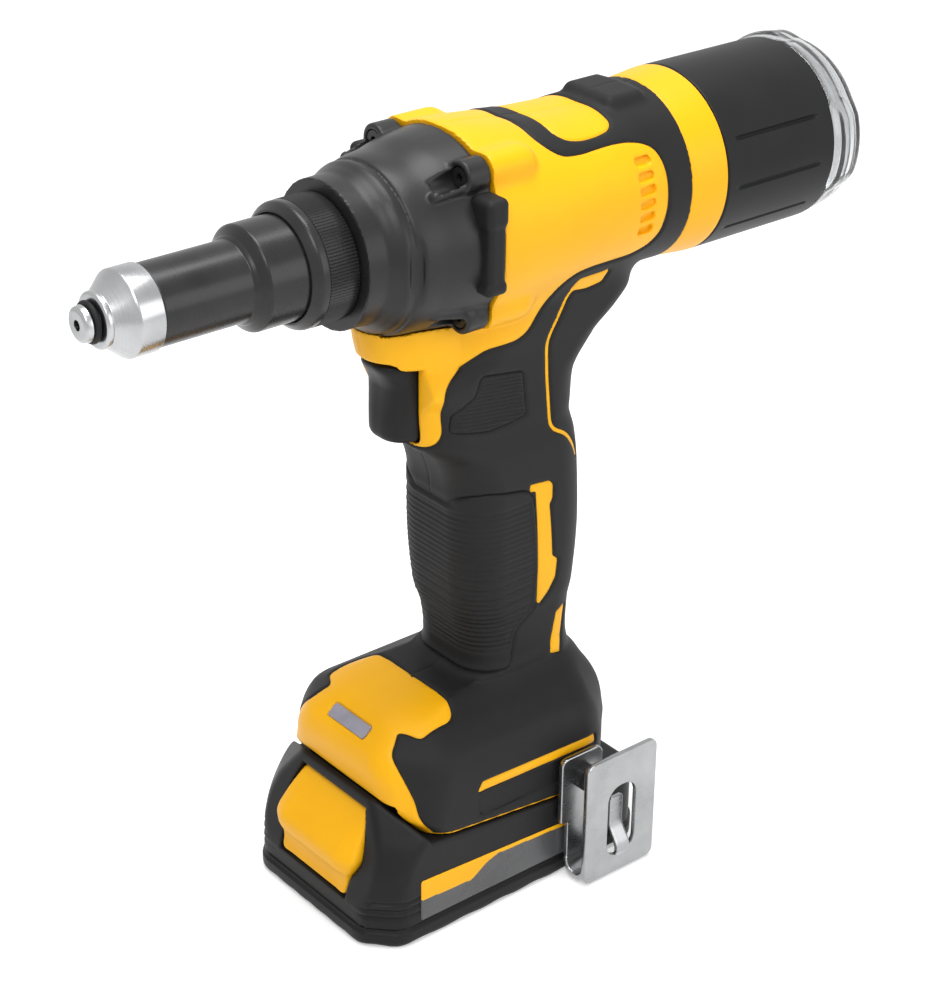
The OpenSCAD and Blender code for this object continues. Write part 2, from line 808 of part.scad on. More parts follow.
module jar_end() {
    color([0.85, 0.9, 0.95, 0.5]) difference() {
        union() {
            turned([[jar_end_x, tail_r], [jar_end_x + 5, tail_r], [jar_end_x + jar_end_l - 4, tail_r - 2],
                [jar_end_x + jar_end_l, tail_r - 8]], 0);
            for (a = [0:60:300]) on_axis(jar_end_x + 1) rotate(a) translate([tail_r - 6.6, 0, 0])
                cylinder(r = 7.4, h = jar_end_l - 6, $fn = round_fn);
        }
        on_axis(jar_end_x - over) cylinder(r = socket_r + gap, h = jar_end_l - 2 + over - 6, $fn = round_fn);
    }
}

module nosepiece() {
    color(silver) turned([[tip_x, tip_d / 2 - 1], [tip_x + 1, tip_d / 2], [cap_x - 2.4, tip_d / 2],
        [cap_x - 2.4, tip_d / 2 - 1.2], [cap_x, tip_d / 2 - 1.2], [cap_x, tip_d / 2 - 0.6],
        [cap_x + 10, tip_d / 2 - 0.6], [cap_x + 10, 3.6], [jaw_x - gap, 3.6]], mandrel_d / 2);
}

module nose_ring() {
    color(rubber_black) on_axis(cap_x - 1.3) rotate_extrude($fn = round_fn)
        translate([tip_d / 2 - 0.2, 0]) circle(r = 1, $fn = hull_fn);
}

module nose_cap() {
    color(silver) difference() {
        turned([[cap_x, 7.8], [cap_x + 0.4, 8.3], [cap_x + 1.6, 8.3], [cap_x + 7.6, cap_d / 2 - 0.5],
            [cap_x + 8.2, cap_d / 2], [tube_x, cap_d / 2]], tip_d / 2 - 0.6);
        on_axis(cap_x + 10) cylinder(r = nose_bore_r + 0.8, h = 30, $fn = round_fn);
    }
}

module nose_housing() {
    color(charcoal) turned([[cap_x + 10, nose_bore_r + 0.8], [tube_x, nose_bore_r + 0.8],
        [tube_x, tube_d / 2], [shoulder_x - 0.6, tube_d / 2], [shoulder_x, tube_d / 2 + 1],
        [shoulder_x + 1.6, shoulder_r], [collar_x + lip_l + gap, shoulder_r],
        [collar_x + lip_l + gap, flange_r], [collar_x + lip_l + gap + flange_l, flange_r]], nose_bore_r);
}

module lock_collar() {
    color(charcoal) difference() {
        turned([[collar_x, collar_r - 2.4], [collar_x + 2.4, collar_r], [neck_x - gap, collar_r]], lip_r);
        on_axis(collar_x + lip_l) cylinder(r = thread_r, h = collar_l, $fn = round_fn);
        for (a = [0:12:348]) on_axis(collar_x + 5) rotate(a) translate([collar_r + 0.3, 0, 0])
            cylinder(r = 0.8, h = collar_l - 8, $fn = 16);
    }
}

module jaw_case() {
    color(steel) on_axis() rotate_extrude($fn = round_fn) polygon([
        [cone_front_r, jaw_case_front], [jaw_r, jaw_case_front], [jaw_r, screw_x], [screw_r - 2, screw_x],
        [screw_r - 2, spring_end], [cone_rear_r, spring_end], [cone_rear_r, cone_end]
    ]);
}

module jaw(i) {
    color(steel) on_axis() intersection() {
        rotate_extrude($fn = round_fn) polygon([
            [mandrel_d / 2 + 0.4, jaw_x], [cone_r(jaw_x), jaw_x], [cone_r(jaw_x + jaw_l), jaw_x + jaw_l],
            [mandrel_d / 2 + 0.4, jaw_x + jaw_l]
        ]);
        rotate(120 * i) translate([jaw_play, 0, jaw_x - over]) linear_extrude(jaw_l + 2 * over)
            polygon([[0, 0], [20, -20 * tan(60)], [40, 0], [20, 20 * tan(60)]]);
    }
}
function cone_r(x) = cone_front_r + (min(x, cone_end) - jaw_case_front) * tan(cone_angle) - 0.35;
module jaw_1() jaw(0);
module jaw_2() jaw(1);
module jaw_3() jaw(2);

module jaw_pusher() {
    color(steel) {
        tube(pusher_x, pusher_x + pusher_l, cone_rear_r - gap, screw_bore_r);
        tube(pusher_x + pusher_l - sliver, pusher_x + pusher_l + 3, screw_bore_r + 1.4, screw_bore_r);
    }
}

module jaw_spring() {
    color(steel) coil(pusher_x + pusher_l + 0.1, spring_end - 0.1, 0, axis_h, cone_rear_r - 1.4, 0.6, 3);
}

module ball_screw() {
    color(steel) turned([[spring_end, screw_r - 2], [screw_x, screw_r - 2], [screw_x, screw_r],
        [screw_end, screw_r]], screw_bore_r);
}

module ball_nut() {
    color(steel) turned([[nut_front, nut_r + 3], [nut_front + 4, nut_r + 3], [nut_front + 4, nut_r],
        [nut_end, nut_r]], screw_r + fit);
}

module planet_carrier() {
    color(steel) {
        tube(nut_end, carrier_end, carrier_r, shaft_r + 2);
        for (i = [0:2]) on_axis(carrier_end - sliver) rotate(120 * i) translate([orbit, 0, 0])
            cylinder(r = pin_r, h = gear_w + 1, $fn = round_fn);
    }
}

module planet(i) {
    color(steel) on_axis(gear_x + 0.5) rotate(120 * i) translate([orbit, 0, 0]) difference() {
        gear(planet_teeth, gear_w - 1);
        translate([0, 0, -over]) cylinder(r = pin_r + fit, h = gear_w + 2 * over, $fn = round_fn);
    }
}
module planet_gear_1() planet(0);
module planet_gear_2() planet(1);
module planet_gear_3() planet(2);

module ring_gear() {
    rp = gear_m * ring_teeth / 2;
    color(steel) on_axis(gear_x) difference() {
        cylinder(r = ring_r, h = gear_w, $fn = round_fn);
        translate([0, 0, -over]) linear_extrude(gear_w + 2 * over)
            polygon(gear_outline(ring_teeth, rp - 0.8 * gear_m, rp + 1.1 * gear_m, -backlash));
    }
}

module nut_bearings() {
    color(steel) {
        tube(case_wall_x, nut_front - 0.3, nut_bearing_r - 2.2, screw_r + gap);
        tube(seam_x - 4, seam_x - 4 + nut_bearing_l, nut_bearing_r, nut_r + fit);
    }
}

module rotor_shaft() {
    color(steel) difference() {
        union() {
            on_axis(gear_x + 0.5) gear(sun_teeth, gear_w - 0.5);
            on_axis(gear_end - sliver)
                cylinder(r = shaft_r, h = rear_plate_x + rear_plate_t - gear_end, $fn = round_fn);
        }
        on_axis(gear_x) cylinder(r = screw_bore_r, h = 90, $fn = round_fn);
    }
}

module rotor_core() {
    color(steel) tube(stator_x - 1, stator_end + 1, rotor_d / 2, shaft_r);
}

module cooling_fan() {
    color(charcoal) {
        tube(fan_x, fan_x + fan_l, shaft_r + 3, shaft_r);
        tube(fan_x, fan_x + 1.4, motor_r - 3.5, shaft_r + 2.9);
        for (a = [0:40:320]) on_axis(fan_x + 1.3) rotate(a) translate([shaft_r + 2.5, -0.7, 0])
            cube([motor_r - 6.2 - shaft_r, 1.4, fan_l - 1.4]);
    }
}

module motor_stator() {
    color(steel) difference() {
        union() {
            tube(stator_x, stator_end, motor_r, motor_r - 3.4);
            for (a = [0:60:300]) on_axis(stator_x) rotate(a) translate([rotor_d / 2 + 0.5, -2, 0])
                cube([motor_r - rotor_d / 2 - 3, 4, stator_l]);
        }
        on_axis(stator_x - over) cylinder(r = rotor_d / 2 + 0.6, h = stator_l + 2 * over, $fn = round_fn);
    }
}

module stator_coils() {
    color(copper) for (a = [0:60:300]) on_axis() rotate(a) difference() {
        translate([rotor_d / 2 + 1.4, -4.2, stator_x - 2.4])
            cube([motor_r - rotor_d / 2 - 5.4, 8.4, stator_l + 4.8]);
        translate([0, -2 - fit, stator_x - fit]) cube([40, 4 + 2 * fit, stator_l + 2 * fit]);
    }
}

module motor_bearings() {
    color(steel) {
        tube(front_plate_x + 1, front_plate_x + 6, bearing_r, shaft_r + fit);
        tube(rear_plate_x, rear_plate_x + 5, bearing_r, shaft_r + fit);
    }
}

module motor_plates() {
    color(charcoal) {
        difference() {
            tube(front_plate_x, front_plate_x + plate_t, motor_r, shaft_r + 1);
            on_axis(front_plate_x + 1) cylinder(r = bearing_r, h = plate_t, $fn = round_fn);
        }
        difference() {
            tube(rear_plate_x, rear_plate_x + rear_plate_t, motor_r, guide_r + fit);
            on_axis(rear_plate_x - over) cylinder(r = bearing_r, h = 5 + over, $fn = round_fn);
            on_axis(rear_plate_x) cylinder(r = shaft_r + 0.6, h = rear_plate_t + over, $fn = round_fn);
        }
    }
}

module mandrel_tube() {
    color(silver) tube(screw_end - 14, jar_x + 4, guide_r, guide_r - 0.8);
}

module housing_screws() {
    color(steel) for (p = posts) along_y(p[0], post_screw_y, p[1]) {
        cylinder(r = post_screw_r, h = post_screw_l + over, $fn = round_fn);
        translate([0, 0, post_screw_l]) cylinder(r = post_head_r, h = post_head_l, $fn = round_fn);
    }
}

module trigger() {
    color(rubber_black) {
        intersection() {
            hull() for (z = [trigger_z + trigger_r, trigger_z + trigger_h - trigger_r])
                for (y = [trigger_r - trigger_w / 2, trigger_w / 2 - trigger_r])
                    translate([trigger_x, y, z]) {
                        translate([trigger_r, 0, 0]) sphere(r = trigger_r, $fn = hull_fn);
                        translate([12, 0, 0]) rotate([0, 90, 0])
                            cylinder(r = trigger_r, h = 0.5, $fn = hull_fn);
                    }
            difference() {
                block([trigger_x, -30, trigger_z],
                    [switch_x - trigger_travel - gap, 30, trigger_z + trigger_h]);
                along_y(trigger_x - 21, -30, trigger_z + trigger_h * 0.55)
                    cylinder(r = 23, h = 60, $fn = round_fn);
            }
        }
        translate([trigger_x + 11, 0, trigger_z + trigger_h / 2]) rotate([0, 90, 0])
            cylinder(r = stem_r, h = stem_end - trigger_x - 11, $fn = round_fn);
    }
}

module trigger_spring() {
    color(steel) coil(stem_end + 0.1, switch_x + switch_l - 4.1, 0, trigger_z + trigger_h / 2, 2.8, 0.45, 7);
}

module trigger_switch() {
    color(charcoal) difference() {
        block([switch_x, -switch_w / 2, trigger_z + 2],
            [switch_x + switch_l, switch_w / 2, trigger_z + trigger_h - 3]);
        translate([switch_x - over, 0, trigger_z + trigger_h / 2]) rotate([0, 90, 0])
            cylinder(r = switch_bore_r, h = switch_l - 4 + over, $fn = round_fn);
    }
}

module control_board() {
    color(board_green) {
        block([board_x, -board_w / 2, board_z], [board_x + board_t - 4, board_w / 2, board_z + board_h]);
        for (z = [lead_in + 4, lead_in + 11]) block([board_x + board_t - 4 - sliver, -chip_hw, board_z + z],
            [board_x + board_t - 1, chip_hw, board_z + z + chip_h]);
    }
}

contact_y = [-11, 0, 11];
module terminal_block() {
    color(charcoal) difference() {
        block([rail_end + gap, -17, rail_z - 6], [channel_end, 17, channel_top]);
        for (y = contact_y) block([rail_end, y - 0.5, rail_z - 3], [channel_end - 2, y + 0.5, rail_z + 4]);
    }
}

module terminal_contacts() {
    color(copper) for (y = contact_y)
        block([rail_end - 20, y - 0.5, rail_z - 3], [channel_end - 2, y + 0.5, rail_z + 4]);
}

// The leads keep to the rear of the handle, behind the board and the switch
lead_r = 1.3;
module battery_leads() {
    color([0.7, 0.1, 0.1]) for (y = [-5, 5]) wire([
        [channel_end - 3, y, channel_top], [channel_end - 3.4, y, channel_top + 5],
        [handle_x + 20, y, foot_top - 8], [handle_x + 12, y, foot_top + 6],
        [handle_x + 5, y, board_z + lead_in - 3],
        [handle_x - 1, y, board_z + lead_in], [board_x + board_t - 4, y, board_z + lead_in]
    ], lead_r);
}

module motor_leads() {
    color([0.15, 0.25, 0.6]) for (y = [-5, 0, 5]) wire([
        [board_x + board_t - 4, y, board_z + lead_out], [handle_x, y, board_z + lead_out],
        [handle_x + 4, y, board_z + lead_out + 5], [handle_x + 6, y, trigger_z - 6],
        [handle_x + 10, y, trigger_z + 10], [handle_x + 11, y, trigger_z + 24],
        [stator_x + 8, y, up(-motor_r - 4)], [stator_x + 9, y, up(-motor_r - 0.3)]
    ], lead_r);
}

module hook_inserts() {
    color([0.8, 0.65, 0.3]) for (s = [-1, 1])
        along_y(hook_screw_x, s > 0 ? -hook_y - insert_l : hook_y, hook_screw_z) difference() {
            cylinder(r = insert_r, h = insert_l, $fn = round_fn);
            translate([0, 0, -over]) cylinder(r = hook_screw_r, h = insert_l + 2 * over, $fn = round_fn);
        }
}

module plate_outline(l, h, r) {
    translate([r, 0]) square([l - 2 * r, h]);
    translate([0, r]) square([l, h - 2 * r]);
    for (x = [r, l - r], y = [r, h - r]) translate([x, y]) circle(r = r, $fn = round_fn);
}

module upright(x, y, z, t) {
    translate([x, y, z]) rotate([90, 0, 0]) linear_extrude(t) children();
}

module belt_hook() {
    bend_z = hook_low + hook_bend_r;
    bend_y = hook_y - hook_bend_r;
    color(silver) {
        difference() {
            upright(hook_x, hook_y, bend_z, hook_t) difference() {
                plate_outline(hook_leg_l, hook_h - bend_z, 3);
                translate([hook_screw_x - hook_x, hook_screw_z - bend_z])
                    circle(r = hook_screw_r, $fn = round_fn);
            }
            block([hook_x - over, hook_y - 10, bend_z - over], [hook_plate_x, hook_y + over, bend_z + 8]);
        }
        upright(hook_plate_x, hook_y - 2 * hook_bend_r + hook_t, bend_z, hook_t) difference() {
            plate_outline(hook_l, hook_h + hook_low - bend_z, 3);
            translate([hook_l / 2 - 3.4, 5]) plate_outline(7, 26, 3.4);
        }
        intersection() {
            translate([hook_plate_x, bend_y, bend_z]) rotate([0, 90, 0]) difference() {
                cylinder(r = hook_bend_r, h = hook_leg_l + hook_x - hook_plate_x, $fn = round_fn);
                translate([0, 0, -over]) cylinder(r = hook_bend_r - hook_t, h = 60, $fn = round_fn);
            }
            block([0, -80, 0], [80, 0, bend_z]);
        }
        block([hook_plate_x, hook_y - hook_t, bend_z - sliver], [hook_x + hook_leg_l, hook_y, bend_z + 4]);
        block([hook_plate_x, bend_y - hook_bend_r, bend_z - sliver],
            [hook_x + hook_leg_l, bend_y - hook_bend_r + hook_t, bend_z + 4]);
    }
}

module belt_hook_screw() {
    color([0.15, 0.15, 0.16]) along_y(hook_screw_x, hook_y - hook_t - 2.6, hook_screw_z) difference() {
        union() {
            cylinder(r = 4.4, h = 2.6, $fn = round_fn);
            cylinder(r = hook_screw_r, h = 2.6 + hook_t + insert_l - 1, $fn = round_fn);
        }
        translate([0, 0, -over]) cylinder(r = 1.7, h = over + 1.6, $fn = 6);
    }
}

module battery_base() {
    color(charcoal) difference() {
        union() {
            linear_extrude(base_h) polygon(battery_plan(-0.6));
            translate([0, 0, 1.2]) linear_extrude(base_h - 2.8) polygon(battery_plan(0));
        }
        translate([0, 0, battery_wall]) battery_space(base_h);
        battery_screw_places() translate([0, 0, -over]) {
            cylinder(r = case_screw_r, h = base_h + 2 * over, $fn = round_fn);
            cylinder(r = case_head_r + 0.2, h = 2.6 + over, $fn = round_fn);
        }
    }
}

// Room for the cells
module battery_space(h) {
    l = cells * cell_pitch + 1.4;
    translate([cells_x - l / 2, -cell_l / 2 - 0.6, 0]) cube([l, cell_l + 1.2, h]);
}

module battery_screw_places() {
    for (x = [20 - battery_hl, battery_hl - 13], y = [3.4 - battery_hw, battery_hw - 3.4])
        translate([x, y, 0]) children();
}

module latch_pocket(d) {
    intersection() {
        across([[-battery_hl - 5, pocket_z - d], [front_x(pocket_z) + latch_t + 6, pocket_z - d],
            [front_x(pocket_z) + latch_t + 6, pocket_z + 8],
            [front_x(pocket_top) + latch_t + 4.2, pocket_top - 6],
            [front_x(pocket_top) + latch_t + 4.2, pocket_top + d], [-battery_hl - 5, pocket_top + d]], 60);
        translate([-battery_hl - 6, 0, 0]) rotate([90, 0, 90]) linear_extrude(40) polygon([
            [-latch_w / 2 - d, pocket_z - over], [latch_w / 2 + d, pocket_z - over],
            [latch_w / 2 + d, pocket_z + 12], [latch_top_w / 2 + d, pocket_top + over],
            [-latch_top_w / 2 - d, pocket_top + over],
            [-latch_w / 2 - d, pocket_z + 12]
        ]);
    }
}

// Front corners of the battery: a plan with cut corners that leans back as it rises
module leaning_corners() {
    shift = -battery_hl + 1 - corner_lean * (base_h + 6);
    multmatrix([[1, 0, corner_lean, shift], [0, 1, 0, 0], [0, 0, 1, 0]])
        linear_extrude(80) polygon([[-60, front_hw - 60], [60, -front_hw - 60], [300, -front_hw - 60],
            [300, front_hw + 60], [60, front_hw + 60], [-60, 60 - front_hw]]);
}

module battery_top() {
    color(charcoal) difference() {
        union() {
            intersection() {
                translate([0, 0, base_h]) linear_extrude(80) polygon(battery_plan(-0.6));
                across(battery_outline, 100);
                leaning_corners();
            }
            block([lip_x + 2, -rail_neck_hw, seam_rear_h - 6], [rail_end, rail_neck_hw, rail_top - sliver]);
            block([corner_x, -rail_hw, rail_z], [rail_end, rail_hw, rail_top]);
        }
        translate([0, 0, base_h - over]) battery_space(cell_z + cell_d / 2 + 0.6 - base_h + over);
        block([corner_x + 14, -16, cell_z + 4], [rail_end - 3, 16, rail_top - battery_wall]);
        block([pack_board_x - board_play, -pack_board_hw - board_play, pack_board_z - 0.1],
            [pack_board_end + board_play, pack_board_hw + board_play, pack_board_z + pack_board_t + 0.1]);
        for (y = contact_y)
            block([rail_end - 26, y - 1.6, rail_z - 4], [rail_end + over, y + 1.6, rail_top + over]);
        latch_pocket(gap);
        translate([front_x(latch_spring_z), 0, latch_spring_z]) rotate([0, 90, 0])
            cylinder(r = latch_spring_r + 2 * latch_spring_wire, h = latch_t + gap + latch_spring_l + 0.1,
                $fn = round_fn);
        along_y(latch_pin_x, -latch_w / 2 - 4, latch_pin_z)
            cylinder(r = latch_pin_r + fit, h = latch_w + 8, $fn = round_fn);
        battery_screw_places() translate([0, 0, base_h - over])
            cylinder(r = case_screw_r, h = 9 + over, $fn = round_fn);
    }
}

module battery_cells() {
    color([0.2, 0.45, 0.6]) for (i = [0:cells - 1])
        along_y(cells_x + (i - (cells - 1) / 2) * cell_pitch, -cell_l / 2, cell_z)
            cylinder(r = cell_d / 2, h = cell_l, $fn = round_fn);
}

module battery_board() {
    color(board_green) {
        block([pack_board_x, -pack_board_hw, pack_board_z],
            [pack_board_end, pack_board_hw, pack_board_z + pack_board_t]);
        for (y = contact_y) difference() {
            block([rail_end - 18, y - 1.4, pack_board_z + pack_board_t - 0.1],
                [rail_end - 6, y + 1.4, rail_z + 2.6]);
            block([rail_end - 30, y - 0.9, rail_z - 3.6], [rail_end, y + 0.9, rail_top]);
        }
    }
}

module battery_screws() {
    color(steel) battery_screw_places() {
        translate([0, 0, 0.6]) cylinder(r = case_head_r, h = 2, $fn = round_fn);
        translate([0, 0, 0.6]) cylinder(r = case_screw_r, h = base_h + 7, $fn = round_fn);
    }
}

module release_latch() {
    face = [[front_x(pocket_z), pocket_z], [front_x(pocket_top), pocket_top]];
    color(yellow) {
        intersection() {
            across([face[0], face[1], face[1] + [latch_t, 0], face[0] + [latch_t + 2.6, 9],
                face[0] + [latch_t + 2.6, 0]], 60);
            latch_pocket(-0.1);
        }
        along_y(latch_pin_x, -latch_w / 2 - 3, latch_pin_z)
            cylinder(r = latch_pin_r, h = latch_w + 6, $fn = round_fn);
    }
}

module latch_spring() {
    x = front_x(latch_spring_z) + latch_t + gap;
    color(steel) coil(x, x + latch_spring_l, 0, latch_spring_z, latch_spring_r, latch_spring_wire, 4);
}

nosepiece();
nose_ring();
nose_cap();
nose_housing();
lock_collar();
jaw_case();
jaw_1();
jaw_2();
jaw_3();
jaw_pusher();
jaw_spring();
ball_screw();
ball_nut();
planet_carrier();
planet_gear_1();
planet_gear_2();
planet_gear_3();
ring_gear();
nut_bearings();
rotor_shaft();
rotor_core();
cooling_fan();
motor_stator();
stator_coils();
motor_bearings();
motor_plates();
mandrel_tube();
gear_case();
gear_case_screws();
left_housing();
right_housing();
left_grip();
right_grip();
side_pads();
tail_ring();
foot_panel();
light_window();
housing_screws();
trigger();
trigger_spring();
trigger_switch();
control_board();
terminal_block();
terminal_contacts();
battery_leads();
motor_leads();
hook_inserts();
jar_socket();
jar_seal();
jar_body();
jar_end();
battery_base();
battery_top();
battery_cells();
battery_board();
battery_screws();
release_latch();
latch_spring();
belt_hook();
belt_hook_screw();
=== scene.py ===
import bpy
import bmesh
import json
import math
import numpy as np
from functools import reduce
from mathutils import Matrix, Vector


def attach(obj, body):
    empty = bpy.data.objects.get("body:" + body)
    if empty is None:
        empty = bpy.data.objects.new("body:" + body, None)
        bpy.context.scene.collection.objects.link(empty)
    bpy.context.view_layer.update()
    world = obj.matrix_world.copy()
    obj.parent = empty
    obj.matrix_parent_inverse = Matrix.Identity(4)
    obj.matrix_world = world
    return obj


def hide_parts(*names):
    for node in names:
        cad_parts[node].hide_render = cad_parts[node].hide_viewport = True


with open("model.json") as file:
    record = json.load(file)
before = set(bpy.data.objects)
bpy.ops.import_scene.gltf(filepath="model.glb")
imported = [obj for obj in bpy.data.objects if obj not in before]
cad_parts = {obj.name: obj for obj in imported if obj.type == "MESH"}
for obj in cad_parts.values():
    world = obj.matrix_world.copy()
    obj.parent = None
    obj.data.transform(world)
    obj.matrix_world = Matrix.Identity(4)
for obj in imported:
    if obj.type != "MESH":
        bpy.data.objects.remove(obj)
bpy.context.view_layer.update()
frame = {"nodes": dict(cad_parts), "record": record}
nodes = frame["nodes"]
print("frame loaded:", len(nodes), "nodes")

# All shapes are worked out in millimetres and go into the meshes in metres
axisZ = 230.0
mm = 0.001


# Monotone cubic through rows [t, a, b, ...], tabulated once
def smoothRows(rows, steps=600):
    k = np.array(rows, float)
    t, v = k[:, 0], k[:, 1:]
    h = np.diff(t)[:, None]
    d = np.diff(v, axis=0) / h
    m = np.zeros_like(v)
    w1, w2 = 2 * h[1:] + h[:-1], h[1:] + 2 * h[:-1]
    same = d[:-1] * d[1:] > 0
    m[1:-1] = np.where(same, (w1 + w2) * d[:-1] * d[1:] / np.where(same, w1 * d[1:] + w2 * d[:-1], 1), 0)
    m[0], m[-1] = d[0], d[-1]
    q = np.linspace(t[0], t[-1], steps)
    i = np.clip(np.searchsorted(t, q) - 1, 0, len(h) - 1)
    s = ((q - t[i]) / h[i, 0])[:, None]
    out = ((1 + 2 * s) * (1 - s) ** 2 * v[i] + s * (1 - s) ** 2 * h[i] * m[i]
           + s * s * (3 - 2 * s) * v[i + 1] + s * s * (s - 1) * h[i] * m[i + 1])
    return q, out


def lookUp(table, t):
    q, out = table
    return [np.interp(t, q, out[:, j]) for j in range(out.shape[1])]


# Straight lines between rows [t, value]
def lineRows(t, rows):
    return np.interp(t, *np.transpose(rows))


# Largest and smallest of several fields: what they have in common, and all that they cover
def most(*fields):
    return reduce(np.maximum, fields)


def least(*fields):
    return reduce(np.minimum, fields)


# Held between nought and one
def unit(a):
    return np.clip(a, 0, 1)


# Smooth minimum: the lower of two fields, blended over a width k; smax is the higher, carve takes a tool away
def smin(a, b, k):
    h = unit(0.5 + 0.5 * (b - a) / k)
    return b + (a - b) * h - k * h * (1 - h)


def smax(a, b, k):
    return -smin(-a, -b, k)


def carve(a, tool, k):
    return smax(a, -tool, k)


# How far a value lies outside a span
def beyond(a, low, high):
    return most(low - a, a - high)


# Distance to a rectangle of half sizes ha, hb with corner radius r
def roundRect(a, b, ha, hb, r):
    qa, qb = np.abs(a) - ha + r, np.abs(b) - hb + r
    return np.hypot(most(qa, 0), most(qb, 0)) + least(most(qa, qb), 0) - r


# Distance to a box with rounded edges, given by its low and high corners
def roundBox(x, y, z, low, high, r):
    q = [np.abs(p - (a + b) / 2) - (b - a) / 2 + r for p, a, b in zip((x, y, z), low, high)]
    out = np.sqrt(sum(most(c, 0) ** 2 for c in q))
    return out + least(most(q[0], q[1], q[2]), 0) - r


# Distance to an open line of points
def lineDistance(a, b, line):
    d = np.full(np.broadcast(a, b).shape, 1e9)
    for (x0, y0), (x1, y1) in zip(line[:-1], line[1:]):
        ex, ey = x1 - x0, y1 - y0
        t = unit(((a - x0) * ex + (b - y0) * ey) / (ex * ex + ey * ey + 1e-12))
        d = least(d, np.hypot(a - x0 - t * ex, b - y0 - t * ey))
    return d


# Signed distance to a closed outline: nearest side, negative inside by crossing count
def outlineDistance(a, b, outline):
    line = np.concatenate([outline, outline[:1]])
    d, inside = lineDistance(a, b, line), np.zeros(np.broadcast(a, b).shape, bool)
    for (x0, y0), (x1, y1) in zip(line[:-1], line[1:]):
        if abs(y1 - y0) > 1e-12:
            inside ^= ((b < y0) != (b < y1)) & (a < x0 + (b - y0) * (x1 - x0) / (y1 - y0))
    return np.where(inside, -d, d)


# Gradient by central differences
def slope(field, v, e=0.04):
    steps = np.eye(3) * e
    return np.stack([(field(*(v + s).T) - field(*(v - s).T)) / (2 * e) for s in steps], 1)


# Surface nets: one vertex in each cell that the surface crosses, at the mean of its edge crossings,
# one quad round each crossed grid edge, then a few Newton steps onto the field's zero
def netSurface(field, low, high, step, settle=3):
    axes = [np.arange(a, b + step, step) for a, b in zip(low, high)]
    f = field(axes[0][:, None, None], axes[1][None, :, None], axes[2][None, None, :]).astype(np.float32)
    inside = f < 0
    corner = [(i, j, k) for i in (0, 1) for j in (0, 1) for k in (0, 1)]
    cut = [slice(0, -1), slice(1, None)]
    total = sum(inside[cut[i], cut[j], cut[k]].astype(np.int8) for i, j, k in corner)
    cells = np.argwhere((total > 0) & (total < 8))
    place = np.full(total.shape, -1, np.int64)
    place[tuple(cells.T)] = np.arange(len(cells))
    value = np.stack([f[cells[:, 0] + i, cells[:, 1] + j, cells[:, 2] + k] for i, j, k in corner], 1)
    spots, count = np.zeros((len(cells), 3)), np.zeros(len(cells))
    for p in range(8):
        for axis in range(3):
            if corner[p][axis] == 0:
                q = corner.index(tuple(1 if k == axis else c for k, c in enumerate(corner[p])))
                a, b = value[:, p], value[:, q]
                crossed = (a < 0) != (b < 0)
                t = np.where(crossed, a / np.where(crossed, a - b, 1), 0)
                spot = np.array(corner[p], float)[None] + t[:, None] * np.eye(3)[axis][None]
                spots += spot * crossed[:, None]
                count += crossed
    v = np.array(low) + (cells + spots / count[:, None]) * step
    quads = []
    for axis in range(3):
        b, c = (axis + 1) % 3, (axis + 2) % 3
        one, two = [slice(None)] * 3, [slice(None)] * 3
        one[axis], two[axis] = slice(0, -1), slice(1, None)
        e = np.argwhere(inside[tuple(one)] != inside[tuple(two)])
        e = e[(e[:, b] > 0) & (e[:, c] > 0) & (e[:, b] < total.shape[b]) & (e[:, c] < total.shape[c])]
        flip = inside[tuple(one)][tuple(e.T)]
        ring = []
        for db, dc in ((1, 1), (0, 1), (0, 0), (1, 0)):
            g = e.copy()
            g[:, [b, c]] -= [db, dc]
            ring.append(place[tuple(g.T)])
        q = np.stack(ring, 1)
        quads.append(np.where(flip[:, None], q, q[:, ::-1]))
    for _ in range(settle):
        g = slope(field, v)
        move = field(*v.T)[:, None] * g / most((g * g).sum(1), 0.2)[:, None]
        v = v - np.clip(move, -0.5 * step, 0.5 * step)
    return v, np.concatenate(quads)


def toTriangles(quads):
    return np.concatenate([quads[:, [0, 1, 2]], quads[:, [0, 2, 3]]])


def triangleEdges(tris):
    return np.concatenate([tris[:, [0, 1]], tris[:, [1, 2]], tris[:, [2, 0]]])


